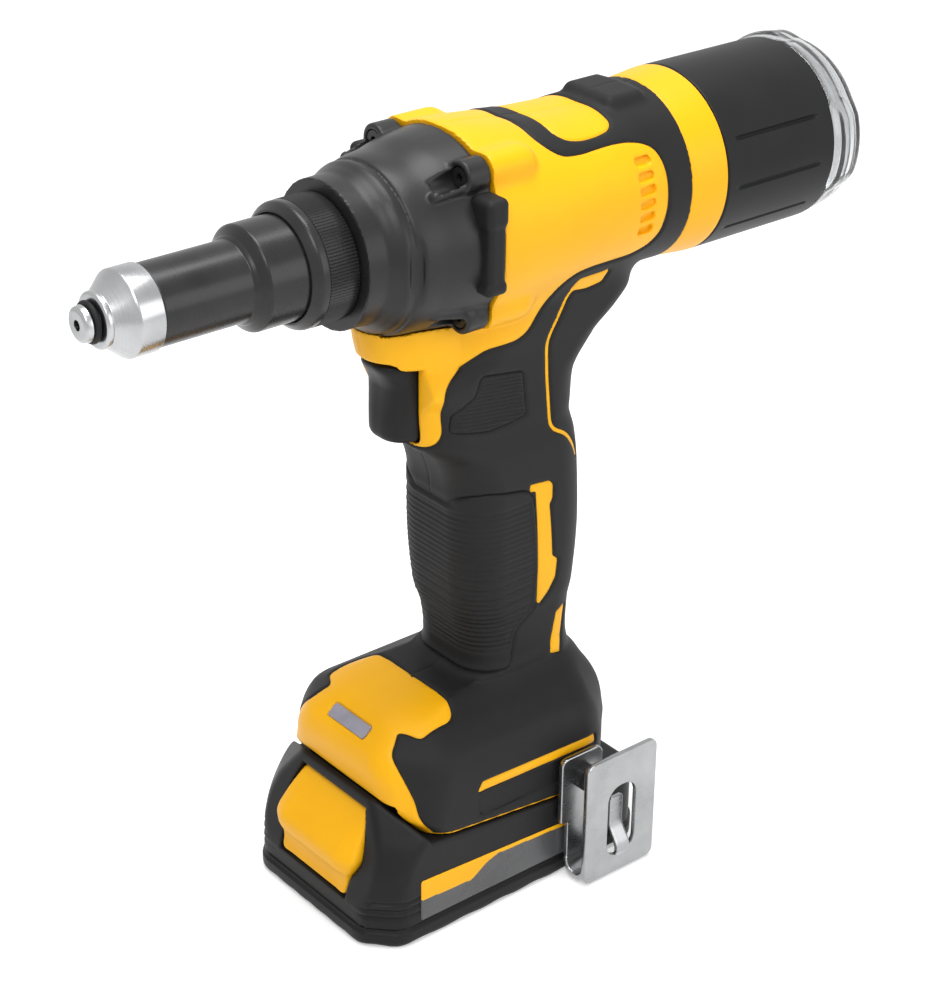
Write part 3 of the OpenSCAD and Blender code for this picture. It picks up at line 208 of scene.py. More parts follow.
# Keeps the part of a mesh where s is negative: vertices close to a crossing move onto it, the other triangles
# that cross are cut where s changes sign
def clipMesh(v, tris, s, near=0.22):
    v, s = v.copy(), np.where(np.abs(s) < 1e-9, -1e-9, s)
    a, b = np.unique(np.sort(triangleEdges(tris), 1), axis=0).T
    crossed = (s[a] < 0) != (s[b] < 0)
    a, b = a[crossed], b[crossed]
    t = s[a] / (s[a] - s[b])
    spot = v[a] + (v[b] - v[a]) * t[:, None]
    end, share, spot = np.concatenate([a, b]), np.concatenate([t, 1 - t]), np.concatenate([spot, spot])
    order = np.argsort(-share, kind="stable")
    order = order[share[order] < near]
    v[end[order]], s[end[order]] = spot[order], 0
    below = s <= 0
    tris = tris[(s[tris] < 0).any(1)]
    n = below[tris].sum(1)

    def oddFirst(t, odd):
        k = np.argmax(odd[t], 1)
        return np.stack([t[np.arange(len(t)), (k + i) % 3] for i in range(3)], 1)
    one, two = oddFirst(tris[n == 1], below), oddFirst(tris[n == 2], ~below)
    ends = np.concatenate([one[:, [0, 1]], one[:, [0, 2]], two[:, [0, 1]], two[:, [0, 2]]])
    pair, back = np.unique(np.sort(ends, 1), axis=0, return_inverse=True)
    p, q = pair.T
    t = (s[p] / (s[p] - s[q]))[:, None]
    place = np.where(s[p] == 0, p, np.where(s[q] == 0, q, len(v) + np.arange(len(pair))))[back.ravel()]
    m, k = len(one), len(two)
    ab, ac, pq, pr = place[:m], place[m:2 * m], place[2 * m:2 * m + k], place[2 * m + k:]
    made = np.concatenate([tris[n == 3], np.stack([one[:, 0], ab, ac], 1), np.stack([pq, two[:, 1], two[:, 2]], 1),
                           np.stack([pq, two[:, 2], pr], 1)])
    made = made[(made[:, 0] != made[:, 1]) & (made[:, 1] != made[:, 2]) & (made[:, 2] != made[:, 0])]
    return tidied(np.concatenate([v, v[p] * (1 - t) + v[q] * t]), made)


# Drops the vertices that no triangle uses
def tidied(v, tris):
    used, tris = np.unique(tris, return_inverse=True)
    return v[used], tris.reshape(-1, 3)


# Closed wall: the skin, a copy moved inwards along the field's slope, and quads round the open edges;
# a half that is joined to its mirror image has no quads at Y 0
def walled(v, tris, field, wall, joined=False):
    g = slope(field, v)
    inner = v - wall * g / (np.linalg.norm(g, axis=1, keepdims=True) + 1e-9)
    middle = (np.abs(v[:, 1]) < 0.05) & joined
    v, inner = (np.where(middle[:, None], p * [1, 0, 1], p) for p in (v, inner))
    edges = triangleEdges(tris)
    first, count = np.unique(np.sort(edges, 1), axis=0, return_index=True, return_counts=True)[1:]
    rim = edges[first[count == 1]]
    rim = rim[~middle[rim].all(1)]
    n = len(v)
    return np.concatenate([v, inner]), [np.concatenate([tris, tris[:, ::-1] + n]),
                                        np.stack([rim[:, 1], rim[:, 0], rim[:, 0] + n, rim[:, 1] + n], 1)]


# Vertex normals: area-weighted sums of triangle normals
def meshNormals(v, tris):
    n = np.cross(v[tris[:, 1]] - v[tris[:, 0]], v[tris[:, 2]] - v[tris[:, 0]])
    out = np.zeros_like(v)
    for i in range(3):
        for a in range(3):
            out[:, a] += np.bincount(tris[:, i], n[:, a], len(v))
    return out / (np.linalg.norm(out, axis=1, keepdims=True) + 1e-12)


# Lip of a moulded edge: level height away from the edge, rolled down to -deep at it
def lip(d, height, deep, width):
    t = unit(np.abs(d) / width)
    return height - (height + deep) * (1 - t) ** 2.2


def mirrored(v, faceSets):
    return v * np.array([1, -1, 1]), [f[:, ::-1] for f in faceSets]


def putMesh(name, v, *faceSets):
    mesh = bpy.data.meshes.new(name)
    sizes = np.concatenate([np.full(len(f), f.shape[1]) for f in faceSets])
    loops = np.concatenate([f.ravel() for f in faceSets]).astype(np.int32)
    mesh.vertices.add(len(v))
    mesh.vertices.foreach_set("co", (np.asarray(v) * mm).astype(np.float32).ravel())
    mesh.loops.add(len(loops))
    mesh.loops.foreach_set("vertex_index", loops)
    mesh.polygons.add(len(sizes))
    mesh.polygons.foreach_set("loop_start", np.concatenate([[0], np.cumsum(sizes)[:-1]]).astype(np.int32))
    mesh.update(calc_edges=True)
    mesh.validate()
    return mesh


def addObject(name, data):
    obj = bpy.data.objects.new(name, data)
    bpy.context.scene.collection.objects.link(obj)
    return obj


# A finished piece: merged, smooth with sharp creases, riding on its body and standing for its CAD nodes
def piece(name, v, faceSets, body, slot, stands=(), crease=38, look=None):
    mesh = putMesh(name, v, *faceSets)
    b = bmesh.new()
    b.from_mesh(mesh)
    bmesh.ops.remove_doubles(b, verts=b.verts, dist=2e-6)
    bmesh.ops.dissolve_degenerate(b, edges=b.edges, dist=1e-6)
    b.to_mesh(mesh)
    b.free()
    mesh.polygons.foreach_set("use_smooth", np.ones(len(mesh.polygons), bool))
    mesh.set_sharp_from_angle(angle=math.radians(crease))
    mesh.materials.append(looks[look or slot])
    obj = addObject(name, mesh)
    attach(obj, body)
    if stands:
        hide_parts(*stands)
    print("  piece", name, len(mesh.vertices), "vertices")


# A piece and its mirror image, standing for the left and the right CAD nodes
def bothSides(name, v, faceSets, body, slot, stands=(), look=None):
    piece(name + "Left", v, faceSets, body, slot, ["left_" + s for s in stands], look=look)
    piece(name + "Right", *mirrored(v, faceSets), body, slot, ["right_" + s for s in stands], look=look)


def gridFaces(rows, cols, closeRows=False, closeCols=False):
    i = np.arange(rows if closeRows else rows - 1)[:, None]
    j = np.arange(cols if closeCols else cols - 1)[None]
    a, b = i * cols + j, i * cols + (j + 1) % cols
    c, d = ((i + 1) % rows) * cols + (j + 1) % cols, ((i + 1) % rows) * cols + j
    return np.stack([a, b, c, d], -1).reshape(-1, 4)


# Outline [a, b, corner radius] with each corner rounded by a quadratic curve, over less than half of either side
def roundedProfile(points, closed=True, steps=5, share=0.48):
    rows = np.array(points, float)
    p, n, out = rows[:, :2], len(rows), []
    for i in range(n):
        if not closed and i in (0, n - 1):
            out.append(p[i:i + 1])
            continue
        a, b = p[i - 1] - p[i], p[(i + 1) % n] - p[i]
        la, lb = np.hypot(*a), np.hypot(*b)
        r = min(rows[i, 2], la * share, lb * share)
        s = np.linspace(0, 1, steps)[:, None]
        p0, p2 = p[i] + a / la * r, p[i] + b / lb * r
        out.append((1 - s) ** 2 * p0 + 2 * s * (1 - s) * p[i] + s * s * p2)
    return np.concatenate(out)


# Turned part: the closed profile, its sides split on request, revolved about the barrel axis;
# change(x, angle, r) may alter the radius
def turned(profile, around, change=None, split=None):
    p = roundedProfile(profile)
    if split:
        nxt = np.roll(p, -1, 0)
        parts = most(1, np.ceil(np.hypot(*(nxt - p).T) / split).astype(int))
        p = np.concatenate([a + (b - a) * (np.arange(k) / k)[:, None] for a, b, k in zip(p, nxt, parts)])
    ang = np.linspace(0, 2 * np.pi, around, endpoint=False)
    x, r = p[:, 0][:, None] + 0 * ang[None], p[:, 1][:, None] + 0 * ang[None]
    if change:
        r = change(x, ang[None] + 0 * x, r)
    v = np.stack([x, -r * np.cos(ang), axisZ + r * np.sin(ang)], -1).reshape(-1, 3)
    area = (p[:, 0] * np.roll(p[:, 1], -1) - np.roll(p[:, 0], -1) * p[:, 1]).sum()
    faces = gridFaces(len(p), around, True, True)
    return v, (faces if area > 0 else faces[:, ::-1])


# Shared effects as node groups: they put out heights, tones and roughness that change over the surface
effectOutputs = ("Height", "Tone", "Roughness")


def newGroup(name, inputs):
    group = bpy.data.node_groups.new(name, "ShaderNodeTree")
    for label, value in inputs.items():
        socket = group.interface.new_socket(name=label, in_out="INPUT", socket_type="NodeSocketFloat")
        socket.default_value = value
    for label in effectOutputs:
        group.interface.new_socket(name=label, in_out="OUTPUT", socket_type="NodeSocketFloat")
    return group, group.nodes.new("NodeGroupInput").outputs, group.nodes.new("NodeGroupOutput").inputs


def addNode(tree, kind, links=(), **values):
    node = tree.nodes.new(kind)
    for key, value in values.items():
        if key in node.inputs:
            node.inputs[key].default_value = value
        else:
            setattr(node, key, value)
    for source, target in links:
        tree.links.new(source, node.inputs[target])
    return node


def mathNode(tree, operation, a, b):
    node = addNode(tree, "ShaderNodeMath", operation=operation)
    for i, s in enumerate((a, b)):
        if isinstance(s, (int, float)):
            node.inputs[i].default_value = s
        else:
            tree.links.new(s, node.inputs[i])
    return node.outputs[0]


# Roughness is Rough plus twice Spread times (mix - 0.5), where the mix weighs the tone against fine noise
def finishGroup(group, given, wanted, height, tone, noise, share):
    mix = mathNode(group, "ADD", mathNode(group, "MULTIPLY", tone, share),
                   mathNode(group, "MULTIPLY", noise, 1 - share))
    swing = mathNode(group, "MULTIPLY", mathNode(group, "SUBTRACT", mix, 0.5), given["Spread"])
    rough = mathNode(group, "ADD", given["Rough"], mathNode(group, "MULTIPLY", swing, 2.0))
    for label, source in zip(effectOutputs, (height, tone, rough)):
        group.links.new(source, wanted[label])
    return group


# Moulded grain: fine cells and noise for height, broad noise for tone, both mixed into roughness
def buildGrain():
    g, given, wanted = newGroup("mouldGrain", {"Grain": 3000, "Broad": 40, "Rough": 0.5, "Spread": 0.1})
    place = g.nodes.new("ShaderNodeTexCoord").outputs["Object"]
    fine = addNode(g, "ShaderNodeTexNoise", [(place, "Vector"), (given["Grain"], "Scale")], Detail=2.0)
    cell = addNode(g, "ShaderNodeTexVoronoi", [(place, "Vector"), (given["Grain"], "Scale")])
    broad = addNode(g, "ShaderNodeTexNoise", [(place, "Vector"), (given["Broad"], "Scale")], Detail=4.0)
    height = mathNode(g, "ADD", fine.outputs[0], mathNode(g, "MULTIPLY", cell.outputs["Distance"], 0.6))
    return finishGroup(g, given, wanted, height, broad.outputs[0], fine.outputs[0], 0.7)


# Tool marks: noise stretched so that it varies along one axis only, as a lathe or a brush leaves it
def buildToolMarks():
    g, given, wanted = newGroup("toolMarks", {"Along X": 1.0, "Along Y": 0.0, "Along Z": 0.0,
                                              "Fineness": 2500, "Rough": 0.3, "Spread": 0.12})
    place = g.nodes.new("ShaderNodeTexCoord").outputs["Object"]
    axes = addNode(g, "ShaderNodeCombineXYZ", [(given["Along " + c], k) for k, c in enumerate("XYZ")])
    thin = addNode(g, "ShaderNodeVectorMath", [(place, 0), (axes.outputs[0], 1)], operation="MULTIPLY")
    lines = addNode(g, "ShaderNodeTexNoise", [(thin.outputs[0], "Vector"), (given["Fineness"], "Scale")],
                    Detail=5.0)
    cloud = addNode(g, "ShaderNodeTexNoise", [(place, "Vector")], Scale=70.0, Detail=3.0)
    return finishGroup(g, given, wanted, lines.outputs[0], cloud.outputs[0], lines.outputs[0], 0.5)


# A material: two tones mixed by the group's tone, its roughness, and a bump from its height
def makeLook(name, dark, light, group, bump, settings, shader):
    look = bpy.data.materials.new(name)
    look.use_nodes = True
    tree = look.node_tree
    tree.nodes.clear()
    effect = addNode(tree, "ShaderNodeGroup", node_tree=group, **settings)
    ramp = addNode(tree, "ShaderNodeValToRGB", [(effect.outputs["Tone"], 0)])
    for stop, position, tone in zip(ramp.color_ramp.elements, (0.3, 0.7), (dark, light)):
        stop.position, stop.color = position, (*tone, 1)
    strength, depth = bump
    relief = addNode(tree, "ShaderNodeBump", [(effect.outputs["Height"], "Height")],
                     Strength=strength, Distance=depth * mm)
    joins = [(ramp.outputs[0], "Base Color"), (effect.outputs["Roughness"], "Roughness"),
             (relief.outputs[0], "Normal")]
    main = addNode(tree, "ShaderNodeBsdfPrincipled", joins, **shader)
    addNode(tree, "ShaderNodeOutputMaterial", [(main.outputs[0], 0)])
    return look


# Looks by slot: name, dark tone, light tone, (bump, its depth), the group's settings, the shader's own values;
# label and sheet are looks of single pieces
grainKeys = ("Grain", "Broad", "Rough", "Spread")
grainLooks = {
    "yellow_plastic": ("yellowPlastic", (0.86, 0.415, 0.002), (0.91, 0.45, 0.004), (0.10, 0.05),
        (2600, 30, 0.42, 0.07), {"Specular IOR Level": 0.24}),
    "black_plastic": ("blackPlastic", (0.009, 0.009, 0.0095), (0.013, 0.013, 0.0135), (0.25, 0.05),
        (2200, 45, 0.46, 0.10), {"Specular IOR Level": 0.16}),
    "black_rubber": ("blackRubber", (0.0085, 0.0085, 0.009), (0.012, 0.012, 0.0125), (0.30, 0.05),
        (3200, 60, 0.58, 0.10), {"Specular IOR Level": 0.2}),
    "black_gear_case": ("castBlack", (0.011, 0.011, 0.0115), (0.016, 0.016, 0.0165), (0.30, 0.06),
        (1800, 70, 0.38, 0.12), {"Specular IOR Level": 0.28}),
    "clear_plastic": ("clearPlastic", (0.66, 0.67, 0.68), (0.74, 0.75, 0.76), (0.02, 0.02), (900, 30, 0.13, 0.04),
        {"Transmission Weight": 1.0, "IOR": 1.49}),
    "window_plastic": ("windowPlastic", (0.23, 0.22, 0.27), (0.29, 0.28, 0.33), (0.05, 0.03),
        (1500, 200, 0.16, 0.05), {"Coat Weight": 0.4}),
    "board": ("boardGreen", (0.02, 0.11, 0.05), (0.03, 0.16, 0.07), (0.1, 0.03), (900, 160, 0.35, 0.08), {}),
    "cell_wrap": ("cellWrap", (0.05, 0.16, 0.26), (0.07, 0.22, 0.34), (0.05, 0.03), (1200, 60, 0.3, 0.08), {}),
    "lead_sleeve": ("wireSleeve", (0.30, 0.03, 0.03), (0.38, 0.05, 0.04), (0.1, 0.03), (1500, 80, 0.5, 0.08), {}),
    "label": ("labelGrey", (0.055, 0.057, 0.06), (0.075, 0.077, 0.08), (0.03, 0.02), (2600, 50, 0.28, 0.06), {}),
}
markKeys = ("Along X", "Along Y", "Along Z", "Fineness", "Rough", "Spread")
markLooks = {
    "black_steel": ("blackSteel", (0.014, 0.014, 0.015), (0.021, 0.021, 0.022), (0.12, 0.03),
        (1.0, 0.0, 0.0, 1800, 0.28, 0.10), {"Metallic": 0.1, "Specular IOR Level": 0.3}),
    "silver_steel": ("silverSteel", (0.33, 0.335, 0.34), (0.44, 0.445, 0.45), (0.22, 0.03),
        (1.0, 0.0, 0.0, 2200, 0.26, 0.14), {"Metallic": 1.0}),
    "sheet": ("brushedSheet", (0.30, 0.305, 0.31), (0.39, 0.395, 0.40), (0.12, 0.02),
        (0.03, 0.2, 1.0, 3000, 0.30, 0.14), {"Metallic": 1.0}),
    "steel": ("machinedSteel", (0.40, 0.41, 0.42), (0.52, 0.53, 0.54), (0.15, 0.02),
        (1.0, 0.0, 0.0, 2600, 0.34, 0.12), {"Metallic": 1.0}),
    "copper": ("copperWire", (0.55, 0.25, 0.12), (0.68, 0.34, 0.18), (0.3, 0.05), (0.2, 1.0, 1.0, 1400, 0.3, 0.1),
        {"Metallic": 1.0}),
    "brass": ("brassTurned", (0.60, 0.43, 0.15), (0.72, 0.53, 0.21), (0.15, 0.02), (0.0, 1.0, 0.0, 2400, 0.3, 0.1),
        {"Metallic": 1.0}),
}
looks = {}
for rows, group, keys in ((grainLooks, buildGrain(), grainKeys), (markLooks, buildToolMarks(), markKeys)):
    for slot, (name, dark, light, bump, values, shader) in rows.items():
        looks[slot] = makeLook(name, dark, light, group, bump, dict(zip(keys, values)), shader)

# Each CAD node's material follows its slot in the record
for part in frame["record"]["subparts"]:
    mesh = nodes[part["node"]].data
    mesh.materials.clear()
    mesh.materials.append(looks[part["material_slot"]])
print("materials ready:", len(bpy.data.materials))

# Moulded body: stations of the barrel [x, half width, half height, corner], of the handle
# [z, middle, half length, half width, corner] and of the foot, which adds [reach of its facets, their rear trim]
body = dict(
    barrel=[[-14, 32.4, 31.2, 30.8], [0, 32.4, 30.9, 30.5], [14, 32.0, 29.4, 29], [28, 31.4, 27.6, 27.2],
        [46, 30.4, 27.0, 26.6], [60, 29.4, 28.0, 27.4], [74, 29.1, 29.1, 29]],
    handle=[[60, 20.2, 24, 20, 12], [72, 20.0, 22.6, 19, 12], [80, 19.8, 21.5, 18.5, 12],
        [92, 19.2, 22.4, 19.0, 12.5], [100, 18.5, 24.0, 20.2, 13], [125, 18.0, 25.5, 21.5, 14],
        [143, 17.6, 25.4, 21, 14], [154, 15.4, 26.4, 20.5, 14], [163, 9.7, 30.6, 19.5, 14],
        [175, 9.4, 32.4, 19, 14], [187, 6.2, 44.2, 19.5, 15], [195, 10.1, 49.1, 20.4, 15],
        [201, 12.6, 51.6, 21, 16], [212, 13.0, 51.0, 22.5, 18]],
    foot=[[22, 8, 43, 36.5, 10, 82, 18.5], [36, 7.5, 43.5, 36.8, 10, 81, 16.5], [43, 5, 46.4, 37, 10, 77.5, 10.5],
        [49, 3, 48.5, 37, 10, 73.5, 4.5], [57, 2, 48.6, 36.5, 10, 70.5, 2.5], [62, 2, 47.3, 34.6, 11, 67, 2.5],
        [67, 3, 43.2, 28.2, 12, 60.5, 2.5], [70, 4, 40.4, 23, 12, 55, 2.5], [72.4, 6.2, 34, 19, 12, 47, 2.5],
        [73.5, 10, 27.4, 16.8, 12, 39.5, 2.5]],
    front=-5.4, rear=73, handleZ=(62, 212), footTop=73.5, facet=4.0, chin=(-21.0, 190.4, 150),
    chinPlan=(-9.4, 16.6, 0.3), chinEase=(6, 189, 10),
    chinFront=[[190, -33.2], [197, -35.0], [203, -36.1], [212, -36.8]], boss=(20.5, 22.0, 5.9, 8.0),
    rest=((53.5, -11, 245), (68, 11, 259.6), 2.2), recess=(9.5, 41.2, 26, 4.4, 3), recessDeep=0.9, recessTilt=0.03,
    slot=((-45, -10.4, 163.4), (-10, 10.4, 192.6), 2.5), stem=(-6, 8, 178.0, 4.4), case=(-11, 203.2, -0.16, 0.2),
    gearGap=0.35, seam=[[-90, 47.4], [-45, 47.4], [-36, 36.4], [60, 25.8]], seamGap=0.4,
    channels=[((-20, -27, 40.5), (40.6, 27, 52)), ((-95, -27, 30), (-19, 27, 47.4)), ((-95, -21, 0), (46, 21, 45))],
    channelRound=0.5, box=((-52, -38.5, 24), (74.5, 1.5, 263)), step=0.75, quickStep=1.3, wall=1.2,
)
barrelRows, handleRows, footRows = (smoothRows(body[k]) for k in ("barrel", "handle", "foot"))


# Top of the battery seen from the side
def seamHeight(x):
    return lineRows(x, body["seam"])


# Barrel: a rounded rectangle across X whose sizes change along X
def barrelField(x, y, z):
    hy, hz, r = lookUp(barrelRows, x)
    return most(roundRect(y, z - axisZ, hy, hz, r), beyond(x, body["front"], body["rear"]))


# Chin over the trigger: half an ellipse in plan whose front leans with height, flaring behind its middle
def chinPlan(x, y, z):
    mid, b, flare = body["chinPlan"]
    ease, top, span = body["chinEase"]
    nose = (np.hypot((x - mid) / (mid - lineRows(z, body["chinFront"])), y / b) - 1) * b
    flank = np.abs(y) - b - flare * (x - mid)
    return np.where(x < mid, nose, flank) - ease * unit((top - z) / span)


# Handle and foot: rounded rectangles across Z whose sizes change along Z
def handleField(x, y, z):
    cx, hx, hy, r = lookUp(handleRows, z)
    d = most(roundRect(x - cx, y, hx, hy, r), beyond(z, *body["handleZ"]))
    return smax(d, chinPlan(x, y, z), 2.0)


# The foot's corners are cut off by upright facets
def footField(x, y, z):
    cx, hx, hy, r, across, trim = lookUp(footRows, z)
    corner = (np.abs(x - cx) + np.abs(y) - across + np.where(x > cx, trim, 0)) * math.sqrt(0.5)
    d = smax(roundRect(x - cx, y, hx, hy, r), corner, body["facet"])
    return most(d, z - body["footTop"])


def shellField(x, y, z):
    return smin(smin(barrelField(x, y, z), handleField(x, y, z), 5), footField(x, y, z), 6)


# Gear case: a neck [x, half width, half height, corner, drop] that flares to the barrel, with a step in its sides,
# four lugs, their ribs and screw pockets
gearCase = dict(
    rows=[[-49, 22.9, 22.9, 22.8, 0], [-42, 23.1, 23.1, 23, 0], [-38.5, 24.6, 24.6, 24.4, -0.4],
        [-35, 26.2, 26.2, 26, -0.8], [-33.2, 26.2, 26.2, 26, -1.2], [-32.4, 27, 27, 26.8, -1.3],
        [-24, 28.5, 28.1, 27.9, -1.2], [-16, 30.0, 29.6, 29.4, -0.7], [-5, 31.2, 30.6, 30.3, -0.4]],
    x=(-48, -5.6), sideStep=((-36, 25.2, -18), (-31, 45, 13), 1.5), lug=(20.5, 22.0, 5.3, -13.8),
    rib=(6.5, 1.5, -23.5, -11), ribReach=[[-28, 27.7], [-10, 31.6]], pocket=(3.5, -22.5, -10.6),
    spigot=(17.6, -56, -47), bore=10.4, box=((-57.5, -37, 194), (-4, 37, 266)), step=0.55,
)
gearRows = smoothRows(gearCase["rows"])


def gearField(x, y, z):
    hy, hz, r, drop = lookUp(gearRows, x)
    ay, up, (front, end) = np.abs(y), z - axisZ, gearCase["x"]
    d = most(roundRect(y, up - drop, hy, hz, r), beyond(x, front, end))
    d = carve(d, roundBox(x, ay, up, *gearCase["sideStep"]), 0.8)
    lugY, lugZ, lugR, lugFront = gearCase["lug"]
    ribTurn, ribR, ribFront, ribEnd = gearCase["rib"]
    pocketR, pocketFront, pocketEnd = gearCase["pocket"]
    turn = math.atan2(lugZ, lugY) - math.radians(ribTurn)
    reach = lineRows(x, gearCase["ribReach"])
    for s in (-1, 1):
        c = np.hypot(ay - lugY, up - s * lugZ)
        d = smin(d, smax(c - lugR, beyond(x, lugFront, end), 1.0), 1.4)
        rib = np.hypot(ay - reach * math.cos(turn), up - s * reach * math.sin(turn))
        rib = np.hypot(rib, most(ribFront - x, 0)) - ribR
        d = smin(d, most(rib, x - ribEnd), 1.4)
        d = carve(d, most(c - pocketR, beyond(x, pocketFront, pocketEnd)), 0.6)
    neck = np.hypot(y, up)
    spigotR, spigotFront, spigotEnd = gearCase["spigot"]
    d = smin(d, most(neck - spigotR, beyond(x, spigotFront, spigotEnd)), 0.3)
    return most(d, gearCase["bore"] - neck)


# Window in the foot: a slab that follows the shell inside a tilted box
window = dict(
    place=(-41.6, 66.6, 42), plate=(2.5, 9.6, 0.8), halfDeep=5, proud=0.1, slab=1.4, gap=0.3, pocket=1.0,
    box=((-50, -11, 58), (-34, 11, 75)), step=0.4,
)


def windowBox(x, y, z):
    x0, z0, tilt = window["place"]
    c, s = math.cos(math.radians(tilt)), math.sin(math.radians(tilt))
    plate = roundRect((x - x0) * c + (z - z0) * s, y, *window["plate"])
    return most(plate, np.abs((z - z0) * c - (x - x0) * s) - window["halfDeep"])


def windowField(x, y, z):
    skin = shellField(x, y, z)
    return smax(windowBox(x, y, z), most(skin - window["proud"], -skin - window["slab"]), 0.3)


# Vents: short rounded slots cut a little way into the shell
vents = dict(x=54.2, z=(243.7, 239.3, 235.0, 230.8, 226.6, 222.2), shape=(3.3, 1.35, 1.0), deep=1.5)


# The shell with its bosses and rest, less the recess, vents, window, gear case, trigger slot and battery channels
def bodyField(x, y, z):
    shell = d = shellField(x, y, z)
    bossY, bossZ, bossR, bossEnd = body["boss"]
    for s in (-1, 1):
        c = np.hypot(np.hypot(np.abs(y) - bossY, z - axisZ - s * bossZ), most(x - bossEnd, 0))
        d = smin(d, most(c - bossR, body["front"] - x), 2.5)
    d = smin(d, roundBox(x, y, z, *body["rest"]), 3)
    rx, rz, *size = body["recess"]
    recess = roundRect(x - rx, z - rz + body["recessTilt"] * (x - rx), *size)
    d = carve(d, most(recess, -shell - body["recessDeep"]), 1.2)
    for ventZ in vents["z"]:
        vent = roundRect(x - vents["x"], z - ventZ, *vents["shape"])
        d = carve(d, most(vent, -shell - vents["deep"]), 0.5)
    d = carve(d, most(windowBox(x, y, z) - window["gap"], -shell - window["pocket"]), 0.3)
    caseX, caseLow, caseSlope, caseGap = body["case"]
    low = caseLow + caseSlope * (x - caseX)
    d = carve(d, most(x - body["front"] - caseGap, low - z), 0.8)
    d = carve(d, gearField(x, y, z) - body["gearGap"], 0.6)
    chinX, chinZ, chinLow = body["chin"]
    d = carve(d, most(x - chinX, z - chinZ, chinLow - z), 1.0)
    d = carve(d, roundBox(x, y, z, *body["slot"]), 0.8)
    stemX, stemHalf, stemZ, stemR = body["stem"]
    d = most(d, -most(np.hypot(y, z - stemZ) - stemR, np.abs(x - stemX) - stemHalf))
    d = smax(d, seamHeight(x) + body["seamGap"] - z, 0.8)
    for corners in body["channels"]:
        d = most(d, -roundBox(x, y, z, *corners, body["channelRound"]))
    return d


# Outlines of the overmould and its inlays, in X and in height unrolled round the barrel's top
overmould = dict(
    black=[(17.4, 300), (17.5, 278), (18.3, 268.6), (18.5, 262.2), (20.2, 258), (22.6, 254.7), (25.6, 252.8),
        (31.5, 252.2), (38.2, 252.6), (44.8, 252.9), (51.3, 252.4), (57, 250.6), (60.3, 248), (62, 243.6),
        (62.8, 238.5), (63, 228.4), (61.8, 219), (58.5, 214.8), (53, 213.2), (35, 213.8), (28.5, 213.2),
        (24.6, 210.6), (17.9, 201.6), (14.5, 196.2), (10.5, 194), (-1.2, 193.4), (-8.1, 189.9), (-14.9, 186),
        (-17.3, 182.6), (-17.2, 177), (-16.2, 168.4), (-17.6, 164.4), (-21, 161.8), (-90, 160.8), (-90, 0),
        (120, 0), (120, 300)],
    label=[(28, 300), (27, 278), (27, 269), (27, 262.2), (29.4, 258.4), (34.5, 256.8), (41.4, 257), (47, 258.2),
        (49.7, 260.9), (49.9, 267.2), (49.4, 278), (49, 300)],
    stripe=[(43.5, 209.4), (30.2, 206.4), (27, 198.5), (22.8, 190.4), (24.6, 170), (25.2, 159), (31.5, 156),
        (36, 150.5), (38.4, 145)],
    leaf=[(29.3, 205.6), (31.8, 209.6), (45, 209.6), (43.2, 205.4), (37, 204.6)],
    strip=[(16.2, 142.2), (24.4, 141.4), (25.8, 139.6), (25.6, 134.8), (24.4, 132.9), (26.4, 113.2), (28.6, 111.6),
        (28.4, 104.6), (26, 100), (22.4, 95.6), (21.2, 97.2), (18.6, 139.4), (16.2, 139.6)],
    lowStrip=[(31, 89.6), (35.6, 91), (33, 73.4), (28.2, 74.6)],
    footLine=[(-17.2, 47.3), (34.3, 46), (33.6, 49.4), (-15, 50.8)],
    panel=[(-15.2, -1), (-15.2, 18.7), (-16.6, 22.6), (-19, 24.3), (-32.8, 25), (-34.2, 20.6), (-36, 18.3),
        (-41, 20.2), (-46, 21.7), (-53.2, 28.6), (-58.3, 31.6), (-64.4, 33.6), (-69.4, 35.4), (-95, 38), (-95, -1)],
    palm=[(-30, 137.4), (-7.6, 137.4), (-7.4, 140.5), (-5.5, 142.6), (0.5, 143.6), (14.6, 141), (17.4, 138),
        (20.4, 112), (20.6, 95.4), (12.6, 88.6), (11.2, 76), (-30, 76)],
    fineLines=[(-3, 185), (13.6, 182.3), (15.4, 167), (8.6, 165.8), (-0.3, 165.5), (-14.5, 168.6), (-14, 174.6),
        (-5.4, 178.4)],
    round={"black": 2.4, "label": 3, "leaf": 1.2, "strip": 0.7, "lowStrip": 0.6, "panel": 3, "palm": 2.5,
        "fineLines": 1.4, "footLine": 0.5},
    stripeHalf=0.6, stripeRound=4, barrelR=31, seamEdge=0.95, fineInner=12.5, panelBend=(69, -25), panelTop=90,
    ribs=(1.9, 0.42, 84, 82, 138, 2, 1.2), ridges=(1.3, 0.2, 0.14, 0.8), palmBox=((-10, -24, 74), (24, 1.5, 146)),
    fineBox=((-18, -28, 162), (19, -11.5, 188)), step=0.42, quickStep=0.9,
)
drawn = {k: roundedProfile([(*q, r) for q in overmould[k]]) for k, r in overmould["round"].items()}
drawn["stripe"] = roundedProfile([(*q, overmould["stripeRound"]) for q in overmould["stripe"]], False)


def unrolled(v):
    up = v[:, 2] - axisZ
    return np.where(up > 0, axisZ + overmould["barrelR"] * np.arctan2(up, np.abs(v[:, 1])), v[:, 2])


# Panel on the foot: how far along its top and down its front, against the distance from the middle
def panelSide(v):
    bendZ, bendX = overmould["panelBend"]
    down = np.clip(bendZ - v[:, 2], 0, None) * (v[:, 0] < bendX)
    d = outlineDistance(v[:, 0] - down, np.abs(v[:, 1]), drawn["panel"])
    return most(d, v[:, 2] - overmould["panelTop"])


